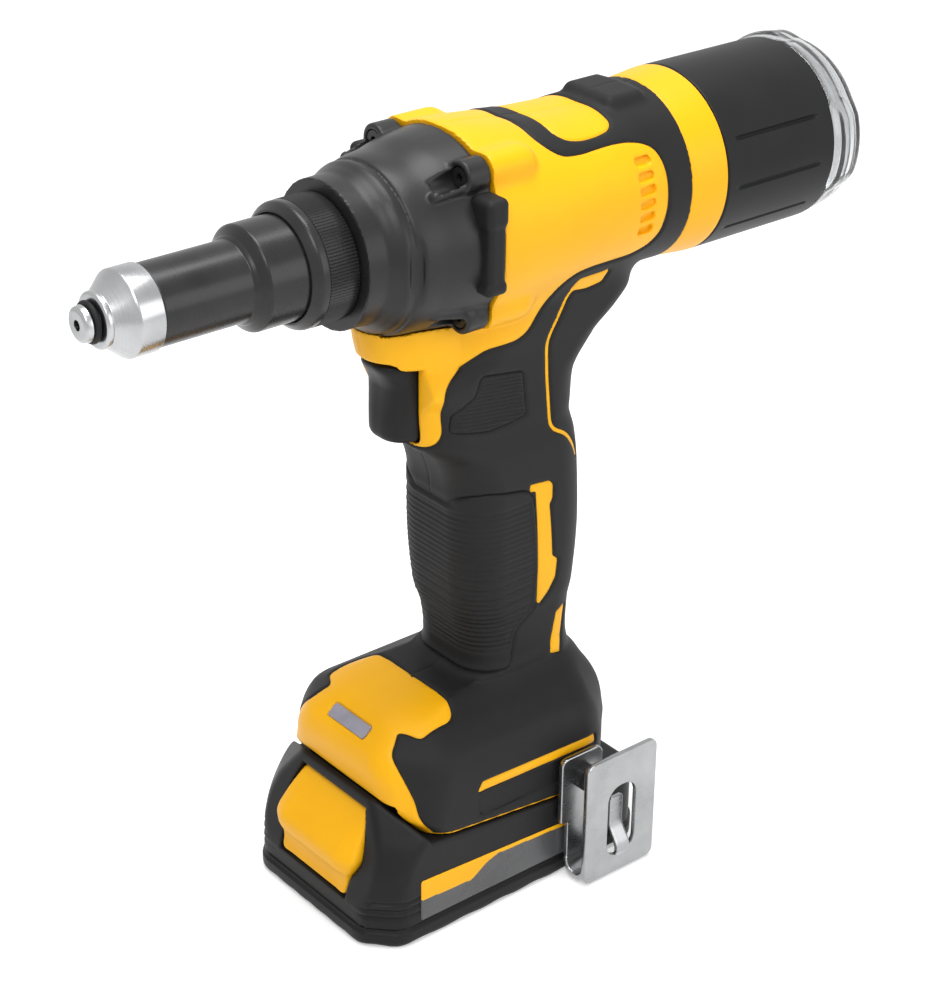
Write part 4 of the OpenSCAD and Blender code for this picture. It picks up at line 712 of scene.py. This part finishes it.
# Negative on the rubber, positive on the yellow plastic
def rubberSide(v):
    x, w = v[:, 0], unrolled(v)
    d = outlineDistance(x, w, drawn["black"])
    d = most(d, overmould["stripeHalf"] - lineDistance(x, w, drawn["stripe"]))
    for key in ("label", "leaf", "strip", "lowStrip", "footLine"):
        d = most(d, -outlineDistance(x, w, drawn[key]))
    d = most(d, seamHeight(x) + overmould["seamEdge"] - v[:, 2])
    return most(d, -panelSide(v))


def palmSide(v):
    return outlineDistance(v[:, 0], v[:, 2], drawn["palm"])


def fineSide(v):
    return most(outlineDistance(v[:, 0], v[:, 2], drawn["fineLines"]), v[:, 1] + overmould["fineInner"])


# Negative on the left half
def half(v):
    return v[:, 1]


# A part of a surface: clipped to the negative side of each contour, then raised along its normals
def cutSkin(v, quads, sides, rise):
    tris = toTriangles(quads)
    for side in sides:
        v, tris = clipMesh(v, tris, side(v))
    return v + meshNormals(v, tris) * rise(v)[:, None], tris


# Ribs across the palm: a rounded wave in height, faded out towards the pad's edge and its ends
def palmRibs(v):
    pitch, deep, start, low, high, ease, edge = overmould["ribs"]
    z = v[:, 2]
    inside = unit(least(-palmSide(v), -rubberSide(v)) / edge - 0.8)
    inside = inside * unit((z - low) / ease) * unit((high - z) / ease)
    return -deep * inside * np.abs(np.sin(np.pi * (z - start) / pitch)) ** 0.6


# Slanting fine ridges on the pad beside the trigger
def fineRidges(v):
    pitch, high, slant, edge = overmould["ridges"]
    inside = unit(-fineSide(v) / edge - 0.5)
    return high * inside * np.sin(2 * np.pi * (v[:, 2] + slant * v[:, 0]) / pitch)


def skinPieces(name, v, tris, slot, stands=()):
    bothSides(name, *walled(*tidied(v, tris), bodyField, body["wall"]), "housing", slot, stands)


# Lips of the skins: height, depth at the edge, width
lips = dict(
    housing=(0, 0.35, 0.9), housingSeam=(0, 0.2, 0.7), grip=(0.3, 0.35, 1.1), gripSeam=(0, 0.15, 0.6),
    palm=(0.5, 0.35, 1.0), finger=(0.25, 0.35, 0.9),
)
bodyStep, skinStep = (d["step"] for d in (body, overmould))
shellV, shellQuads = netSurface(bodyField, *body["box"], bodyStep)
print("body surface:", len(shellV), "vertices")
v, tris = cutSkin(shellV, shellQuads, [half, lambda p: -rubberSide(p)],
                  lambda p: lip(rubberSide(p), *lips["housing"])
                  + lip(half(p), *lips["housingSeam"]) * (panelSide(p) > 0))
onPanel = panelSide(v[tris].mean(1)) < 0
skinPieces("housing", v, tris[~onPanel], "yellow_plastic", ["housing"])
v, faces = walled(*tidied(v, tris[onPanel]), bodyField, body["wall"], True)
otherV, otherFaces = mirrored(v, faces)
faces = [np.concatenate([f, g + len(v)]) for f, g in zip(faces, otherFaces)]
piece("footPanel", np.concatenate([v, otherV]), faces, "housing", "yellow_plastic", ["foot_panel"])
v, tris = cutSkin(shellV, shellQuads, [half, rubberSide, lambda p: -palmSide(p), lambda p: -fineSide(p)],
                  lambda p: lip(least(-rubberSide(p), palmSide(p), fineSide(p)), *lips["grip"])
                  + lip(half(p), *lips["gripSeam"]))
skinPieces("grip", v, tris, "black_rubber", ["grip"])
v, quads = netSurface(bodyField, *overmould["palmBox"], skinStep)
v, tris = cutSkin(v, quads, [half, rubberSide, palmSide],
                  lambda p: lip(least(-rubberSide(p), -palmSide(p)), *lips["palm"]) + palmRibs(p))
skinPieces("palmPad", v, tris, "black_rubber")
v, quads = netSurface(bodyField, *overmould["fineBox"], skinStep)
v, tris = cutSkin(v, quads, [rubberSide, fineSide], lambda p: lip(fineSide(p), *lips["finger"]) + fineRidges(p))
skinPieces("fingerPad", v, tris, "black_rubber")
print("body skins done")


def fieldPiece(name, field, made, rides, slot, stands, look=None):
    v, quads = netSurface(field, *made["box"], made["step"] * (1))
    piece(name, v, [quads], rides, slot, stands, look=look)


fieldPiece("gearCase", gearField, gearCase, "housing", "black_gear_case", ["gear_case"])
fieldPiece("lightWindow", windowField, window, "housing", "window_plastic", ["light_window"])

# Side pads: rounded bars with a thicker head and toe
pads = dict(
    bar=((-12.4, 24.5, 218.6), (-6.0, 34.0, 247.4), 1.8), head=((-13.2, 24.5, 239), (-5.2, 34.4, 248), 2.2),
    toe=((-13.2, 24.5, 218), (-5.4, 34.1, 222), 1.6), step=0.42, left=((-15, -36, 217), (-4.5, -23.5, 249.5)),
    right=((-15, 23.5, 217), (-4.5, 36, 249.5)),
)


def padField(x, y, z):
    bar, head, toe = (roundBox(x, np.abs(y), z, *pads[k]) for k in ("bar", "head", "toe"))
    return smin(smin(bar, head, 1.2), toe, 1.0)


for side, stands in (("left", ["side_pads"]), ("right", [])):
    fieldPiece("pad" + side.title(), padField, {**pads, "box": pads[side]}, "housing", "black_rubber", stands)

# Trigger: a block with a round front that leans out at its top, hollowed for the finger, with its stem
trigger = dict(
    block=(-28.9, -19.6, 9.9, 8.6), past=14, ends=(163.9, 191.2, 3.4), hollow=(-53.5, 180, 25.2),
    brow=(4.0, 182.0, 9.0, 1.6), stem=(178, 3.6, -24, -9), box=((-38, -13.5, 162.5), (-8, 13.5, 193.5)), step=0.5,
)


def triggerField(x, y, z):
    front, rear, wide, r = trigger["block"]
    low, high, end = trigger["ends"]
    hollowX, hollowZ, hollowR = trigger["hollow"]
    brow, browFrom, browRise, power = trigger["brow"]
    stemZ, stemR, stemFront, stemEnd = trigger["stem"]
    lean = x + brow * unit((z - browFrom) / browRise) ** power
    long = (rear + trigger["past"] - front) / 2
    d = smax(roundRect(lean - front - long, y, long, wide, r), beyond(z, low, high), end)
    d = smax(d, hollowR - np.hypot(lean - hollowX, z - hollowZ), 2.5)
    stem = most(np.hypot(y, z - stemZ) - stemR, beyond(x, stemFront, stemEnd))
    return smin(smax(d, x - rear, 0.8), stem, 0.5)


fieldPiece("trigger", triggerField, trigger, "trigger", "black_plastic", ["trigger"])

# Battery: its plan and its side view are two outlines, rounded where they meet
battery = dict(
    plan=[(-58.4, -27.4), (-48.4, -37.4), (49.8, -37.4), (58.4, -28.8), (58.4, 28.8), (49.8, 37.4), (-48.4, 37.4),
        (-58.4, 27.4)],
    planRound=4, side=[(-58, 6), (-58, 13), (-47.2, 47), (-45, 47), (-36, 36), (59, 25.5), (59, 6)], edge=1.6,
    frontHalf=[[6, 31], [26, 30.6], [34, 28.8], [40, 25.2], [47, 20.4], [50, 19]], front=(-58, 13, 12 / 34),
    floor=7.05, grooves=(11.4, 14.2, 17.0), groove=(0.65, -41, 20.5),
    rails=[((-43, -20.5, 24), (39.5, 20.5, 46.8), 0.5), ((-36, -26.5, 41), (39.5, 26.5, 47), 0.6)],
    contacts=(-11, 0, 11), contact=(1.6, 13.5, 44, 37, 52, 0.2), pocketZ=(12.9, 44.1), pocketGap=0.35,
    pocketBack=[[13.4, -48.9], [21.4, -48.9], [37.5, -40], [43.5, -40]], box=((-60, -39, 6), (60, 39, 49)),
    step=0.65,
)
# Latch: a plate on the battery's sloping front, rows [z, half width, bulge]
latch = dict(
    rows=[[12, 17.8, -1.0], [16, 17.8, -0.9], [20, 18.2, 0.6], [24, 20.2, 4.0], [28, 21.4, 5.4], [33, 20.6, 3.4],
        [39, 18.8, 0.2], [42, 17.6, -0.8], [46, 16.4, -1.2]],
    z=(13.5, 43.4), plate=(0.943, 0.1, 0.6, 4.4), crown=(1.15, 2, 4), box=((-63, -22.5, 11), (-38, 22.5, 46)),
    step=0.5,
)
frontRows, latchRows = smoothRows(battery["frontHalf"]), smoothRows(latch["rows"])
planLine = roundedProfile([(*q, battery["planRound"]) for q in battery["plan"]])
sideLine = np.array(battery["side"], float)


def frontX(z):
    x0, z0, lean = battery["front"]
    return x0 + lean * (z - z0)


# Room for the latch
def pocketField(x, y, z):
    wide = np.abs(y) - lookUp(latchRows, z)[0] - battery["pocketGap"]
    return most(wide, beyond(z, *battery["pocketZ"]), x - lineRows(z, battery["pocketBack"]))


def batteryField(x, y, z):
    plan, ay = outlineDistance(x, y, planLine), np.abs(y)
    d = smax(plan, outlineDistance(x, z, sideLine), battery["edge"])
    corner = ay - lookUp(frontRows, z)[0] - x + frontX(most(z, battery["front"][1]))
    d = most(smax(d, corner * math.sqrt(0.5), battery["edge"]), battery["floor"] - z)
    grooveR, grooveEnd, grooveInner = battery["groove"]
    for g in battery["grooves"]:
        d = carve(d, most(np.hypot(plan, z - g) - grooveR, x - grooveEnd, grooveInner - ay), 0.4)
    for rail in battery["rails"]:
        d = least(d, roundBox(x, y, z, *rail))
    h, x0, x1, z0, z1, r = battery["contact"]
    for y0 in battery["contacts"]:
        d = most(d, -roundBox(x, y, z, (x0, y0 - h, z0), (x1, y0 + h, z1), r))
    return carve(d, pocketField(x, y, z), 0.5)


fieldPiece("batteryTop", batteryField, battery, "battery", "black_plastic", ["battery_top"])

# Base tray: the plan carried up with a proud rim and a scalloped foot edge
base = dict(
    grow=(1.010, 1.015), edge=[[0, 1.0], [1.0, 0.4], [1.8, 0], [5.2, 0], [5.8, 0.9], [7.1, 0.9]],
    wave=(0.55, 1.6, 26, 6), top=7.0, box=((-61, -40, -1), (61, 40, 8)), step=0.8,
)
baseLine = roundedProfile(np.array([(*q, battery["planRound"]) for q in battery["plan"]]) * [*base["grow"], 1])


def baseField(x, y, z):
    high, stretch, count, reach = base["wave"]
    plan = outlineDistance(x, y, baseLine)
    wave = high + high * np.cos(np.arctan2(y * stretch, x) * count)
    low = wave * unit(1 - np.abs(plan) / reach) - z
    return smax(plan + lineRows(z, base["edge"]), most(low, z - base["top"]), 0.7)


fieldPiece("batteryBase", baseField, base, "battery", "black_plastic", ["battery_base"])


def latchField(x, y, z):
    wide, bulge = lookUp(latchRows, z)
    tilt, gap, proud, thick = latch["plate"]
    level, past, power = latch["crown"]
    out = (frontX(z) - x) * tilt
    d = smax(np.abs(y) - wide + gap, beyond(z, *latch["z"]), 2.6)
    crown = bulge * unit(level - (np.abs(y) / (wide + past)) ** power)
    return smax(d, most(out - proud - crown, -out - thick), 1.6)


fieldPiece("releaseLatch", latchField, latch, "release_latch", "yellow_plastic", ["release_latch"])
print("moulded pieces done")

# Belt hook: two plates joined by a half ring, with a slot in the outer plate and a bent tab behind it;
# flat shapes are [x, z, half length, half height, corner]
hook = dict(
    sheet=2.0, inner=-39.6, outer=-49.0, innerPlate=(25, 27.2, 9, 20, 3), notch=(19, 22),
    outerPlate=(34.5, 24.6, 15.5, 23.6, 3), slot=(35.0, 21.6, 6.2, 14, 5.6), bend=(19, 34, 6.9, 0.3),
    tab=(36.6, 17.4, 2.9, 10.4, 1.2), tabBend=(0.8, 4.2, 9, 9), box=((15, -51.5, 0), (51.5, -37.5, 49.5)),
    step=0.42,
)


def hookField(x, y, z):
    h, y0, y1, (notchX, notchZ) = hook["sheet"] / 2, hook["inner"], hook["outer"], hook["notch"]
    bendFront, bendRear, bendZ, over = hook["bend"]
    tabHalf, tabLift, tabFrom, tabRise = hook["tabBend"]
    inner, outer, slot, tab = (roundRect(x - cx, z - cz, *size) for cx, cz, *size in (
        hook[k] for k in ("innerPlate", "outerPlate", "slot", "tab")))
    inner = carve(most(inner, bendZ - z), most(x - notchX, z - notchZ), 1.5)
    inner = smax(inner, np.abs(y - y0) - h, 0.5)
    ring = np.abs(np.hypot(y - (y0 + y1) / 2, z - bendZ) - (y0 - y1) / 2) - h
    bend = smax(ring, most(beyond(x, bendFront, bendRear), z - bendZ - over), 0.5)
    outer = smax(carve(outer, slot, 0.5), np.abs(y - y1) - h, 0.5)
    lift = unit((z - tabFrom) / tabRise)
    curl = y1 + tabLift * lift * lift * (3 - 2 * lift)
    tab = smax(tab, np.abs(y - curl) - tabHalf, 0.4)
    return least(inner, outer, tab, bend)


fieldPiece("beltHook", hookField, hook, "housing", "silver_steel", ["belt_hook"], "sheet")

# Turned nose: closed profiles [x, radius, corner radius]
nose = dict(
    tip=[(-131, 1.6, .1), (-131, 4.2, .4), (-130.5, 5.2, .4), (-128.7, 5.5, .2), (-128.6, 4.3, .1), (-126, 4.3, .1),
        (-126, 4.9, .1), (-116, 4.9, .1), (-116, 3.6, .1), (-105, 3.6, .1), (-105, 1.6, .1)],
    cap=[(-126, 4.95, .1), (-126, 7.7, .3), (-125.5, 8.4, .4), (-124.3, 8.4, .4), (-123.9, 8.1, .2),
        (-118.8, 12.3, .4), (-118, 13, .5), (-110.2, 13, .3), (-110.1, 11.2, .1), (-116, 11.2, .1),
        (-116, 4.95, .1)],
    tube=[(-110, 11.2, .1), (-110, 12.0, .2), (-109.6, 12.3, .2), (-80.4, 12.3, .3), (-79.9, 12.8, .2),
        (-79, 13.4, .2), (-77.4, 15.4, .3), (-76.7, 16, .5), (-59.6, 16, .1), (-59.6, 17.3, .1), (-56.6, 17.3, .1),
        (-56.6, 10.4, .1), (-116, 10.4, .1), (-116, 11.2, .1)],
    collar=[(-64, 16.4, .1), (-64, 17.0, .2), (-61.9, 19.0, .4), (-61.2, 19.3, .3), (-59.2, 19.3, .15),
        (-58.9, 19.0, .1), (-48.8, 19.0, .1), (-48.4, 18.6, .2), (-48.4, 17.75, .1), (-60, 17.75, .1),
        (-60, 16.4, .1)],
    teeth=120, toothHeight=0.36, knurlX=(-58.95, -48.7), knurlFrom=18.5, ringX=-127.3, ringR=5.3,
)
ringTurn = np.linspace(0, 2 * np.pi, 16, endpoint=False)
nose["ring"] = [(nose["ringX"] + math.cos(t), nose["ringR"] + math.sin(t), 0.05) for t in ringTurn]


# Knurl: a triangle wave round the collar between two stations
def knurl(x, angle, r):
    wave = np.abs(((angle * nose["teeth"] / (2 * np.pi)) % 1) - 0.5) * 2
    return r + nose["toothHeight"] * wave * ((beyond(x, *nose["knurlX"]) < 0) & (r > nose["knurlFrom"]))


def turnedPiece(name, profile, rides, slot, stands, around=160, change=None, split=None, crease=32):
    v, faces = turned(profile, around, change, split)
    piece(name, v, [faces], rides, slot, stands, crease)


turnedPiece("nosepiece", nose["tip"], "nose", "silver_steel", ["nosepiece"], 96)
turnedPiece("noseCap", nose["cap"], "nose", "silver_steel", ["nose_cap"])
turnedPiece("noseTube", nose["tube"], "nose", "black_steel", ["nose_housing"])
turnedPiece("lockCollar", nose["collar"], "lock_collar", "black_steel", ["lock_collar"], 720, knurl, None, 25)
turnedPiece("noseRing", nose["ring"], "nose", "black_rubber", ["nose_ring"], 96)

# Jar and the ring before it: closed profiles [x, radius, corner radius]
jar = dict(
    ring=[(73.2, 27.8, .1), (73.2, 28.9, .2), (73.6, 29.2, .3), (85, 30.4, 2), (87.3, 30.5, .3), (87.6, 30.1, .2),
        (87.6, 27.8, .1)],
    body=[(88, 28.2, .1), (88, 30.1, .2), (88.5, 30.5, .3), (135.5, 30.5, .3), (136, 30.1, .2), (136, 28.2, .1)],
    end=[(136.1, 28.2, .1), (136.1, 30.2, .2), (136.6, 30.5, .3), (140, 30.4, 1), (148, 29.4, 2), (152, 25.5, 2.5),
        (153, 20, 2), (153, 0.01, 0), (150.6, 0.01, 0), (150.4, 19, 2), (148.6, 24.4, 2), (144, 27.4, 2),
        (139, 28.1, 1)],
    grooves=(12, -4.7, 0.75, 0.8), grooveX=(93.5, 129.0), grooveFrom=29.5, sideCos=0.7, lobes=(3, 1.7, 0.4),
    lobeX=(137.5, 151), lobeFrom=20,
)


# Grip grooves: rounded channels along the jar at equal angles, three on each side
def jarGrooves(x, angle, r):
    count, first, wide, deep = jar["grooves"]
    turn, around = 2 * np.pi / count, angle - math.radians(first)
    off = (around + turn / 2) % turn - turn / 2
    d = np.hypot(off * r, most(beyond(x, *jar["grooveX"]), 0)) / wide
    where = (r > jar["grooveFrom"]) * (np.abs(np.cos(around)) > jar["sideCos"])
    return r - deep * unit(1 - d * d) ** 0.7 * where


# Clear end: an outer and an inner wall whose rim swells into lobes
def jarLobes(x, angle, r):
    (low, high), (count, tall, sunk) = jar["lobeX"], jar["lobes"]
    swell = unit((x - low) / 2) * unit((high - x) / 3) * unit((r - jar["lobeFrom"]) / 6)
    return r + swell * (tall * unit(0.2 + 1.5 * np.cos(count * angle)) - sunk)


turnedPiece("tailRing", jar["ring"], "housing", "yellow_plastic", ["tail_ring"], 192)
turnedPiece("jarBody", jar["body"], "jar", "black_plastic", ["jar_body"], 576, jarGrooves, 1.1)
turnedPiece("jarEnd", jar["end"], "jar", "clear_plastic", ["jar_end"], 288, jarLobes, 1.5, 45)
print("turned pieces done")

# Side labels on the battery: thin plates with rolled edges on the flat side walls
labels = dict(
    plate=[(-41, 7.8), (-41, 23.3), (36, 19.2), (36, 7.8)], plateOut=0.28,
    band=[(-41, 23.3), (36, 19.2), (36, 17.5), (-9, 20.0), (-13.5, 18.6), (-20, 14.4), (-41, 15.4)], bandOut=0.40,
    wall=37.4, round=0.9, edge=0.5, roll=0.7, thick=0.8, step=0.6,
)


# Flat to the wall: positive outside the label's plane
def labelPlane(x, y, z):
    return -y + 0 * x


def platePiece(name, outline, out, slot, look=None):
    low, high = outline.min(0) - 1, outline.max(0) + 1
    a, b = np.meshgrid(*(np.arange(p, q, labels["step"]) for p, q in zip(low, high)), indexing="ij")
    v = np.stack([a.ravel(), np.zeros(a.size), b.ravel()], 1)

    def side(p):
        return outlineDistance(p[:, 0], p[:, 2], outline)
    v, tris = clipMesh(v, toTriangles(gridFaces(*a.shape)), side(v))
    roll = unit(1 + side(v) / labels["edge"]) ** 2
    v[:, 1] = -labels["wall"] - out * (1 - labels["roll"] * roll)
    bothSides(name, *walled(v, tris, labelPlane, labels["thick"]), "battery", slot, look=look)


for key, slot, look in (("plate", "black_plastic", "label"), ("band", "yellow_plastic", None)):
    outline = roundedProfile([(*q, labels["round"]) for q in labels[key]])
    platePiece("battery" + key.title(), outline, labels[key + "Out"], slot, look)
print("labels done")


# One where the camera sees a surface straight or by way of a mirror or glass, nought for the light it gives
def seenRays(tree):
    path = tree.nodes.new("ShaderNodeLightPath").outputs
    straight = mathNode(tree, "MAXIMUM", path["Is Camera Ray"], path["Is Glossy Ray"])
    return mathNode(tree, "MAXIMUM", straight, path["Is Transmission Ray"])


# Floor, world, lights (place, size, power) and camera
studio = dict(
    key=((-0.55, -0.6, 1.1), 0.55, 6.5), fill=((0.45, -1.1, 0.5), 0.7, 3.6), top=((0.05, 0.05, 1.2), 0.6, 10.0),
)
stage = dict(
    half=3000, floorZ=-0.2, floorTone=0.9, floorRough=0.9, floorGlow=0.35, worldSeen=0.55, worldLight=0.45,
    aim=(0, 0, 0.13),
)
scene = bpy.context.scene
corners = [(-1, -1), (1, -1), (1, 1), (-1, 1)]
floorMesh = putMesh("floor", np.array([(a * stage["half"], b * stage["half"], stage["floorZ"]) for a, b in corners]),
                    np.array([[0, 1, 2, 3]]))
floor = addObject("floor", floorMesh)
floorLook = bpy.data.materials.new("paleFloor")
floorLook.use_nodes = True
tree = floorLook.node_tree
shade = tree.nodes["Principled BSDF"].inputs
shade["Base Color"].default_value = (*[stage["floorTone"]] * 3, 1)
shade["Roughness"].default_value = stage["floorRough"]
shade["Emission Color"].default_value = (1, 1, 1, 1)
tree.links.new(mathNode(tree, "MULTIPLY", seenRays(tree), stage["floorGlow"]), shade["Emission Strength"])
floorMesh.materials.append(floorLook)

world = bpy.data.worlds.new("studio")
scene.world = world
world.use_nodes = True
tree = world.node_tree
back = tree.nodes["Background"].inputs
back["Color"].default_value = (1, 1, 1, 1)
seen = mathNode(tree, "MULTIPLY", seenRays(tree), stage["worldSeen"])
tree.links.new(mathNode(tree, "ADD", seen, stage["worldLight"]), back["Strength"])

for name, (place, size, power) in studio.items():
    data = bpy.data.lights.new(name, "AREA")
    data.size, data.energy = size, power
    lamp = addObject(name, data)
    lamp.location = place
    lamp.rotation_euler = (Vector(stage["aim"]) - Vector(place)).to_track_quat("-Z", "Y").to_euler()

# Camera: turned by azimuth and elevation, then rolled; focal length in pixels of a picture 1000 high
view = dict(
    place=(-0.4363, -0.5404, 0.4988), azimuth=-39.4, elevation=27.73, roll=0.54, focal=2441.7, pixels=1000,
    sensor=36,
)
az, el, roll = (math.radians(view[k]) for k in ("azimuth", "elevation", "roll"))
backward = Vector((math.sin(az) * math.cos(el), -math.cos(az) * math.cos(el), math.sin(el)))
right = Vector((math.cos(az), math.sin(az), 0))
up = backward.cross(right)
right, up = right * math.cos(roll) + up * math.sin(roll), up * math.cos(roll) - right * math.sin(roll)
cameraData = bpy.data.cameras.new("camera")
cameraData.sensor_width, cameraData.sensor_fit = view["sensor"], "AUTO"
cameraData.lens = view["focal"] / view["pixels"] * view["sensor"]
camera = addObject("camera", cameraData)
camera.matrix_world = Matrix((right, up, backward)).transposed().to_4x4()
camera.location = view["place"]
scene.camera = camera
scene.view_settings.view_transform = "Standard"
print("floor, lights and camera placed")
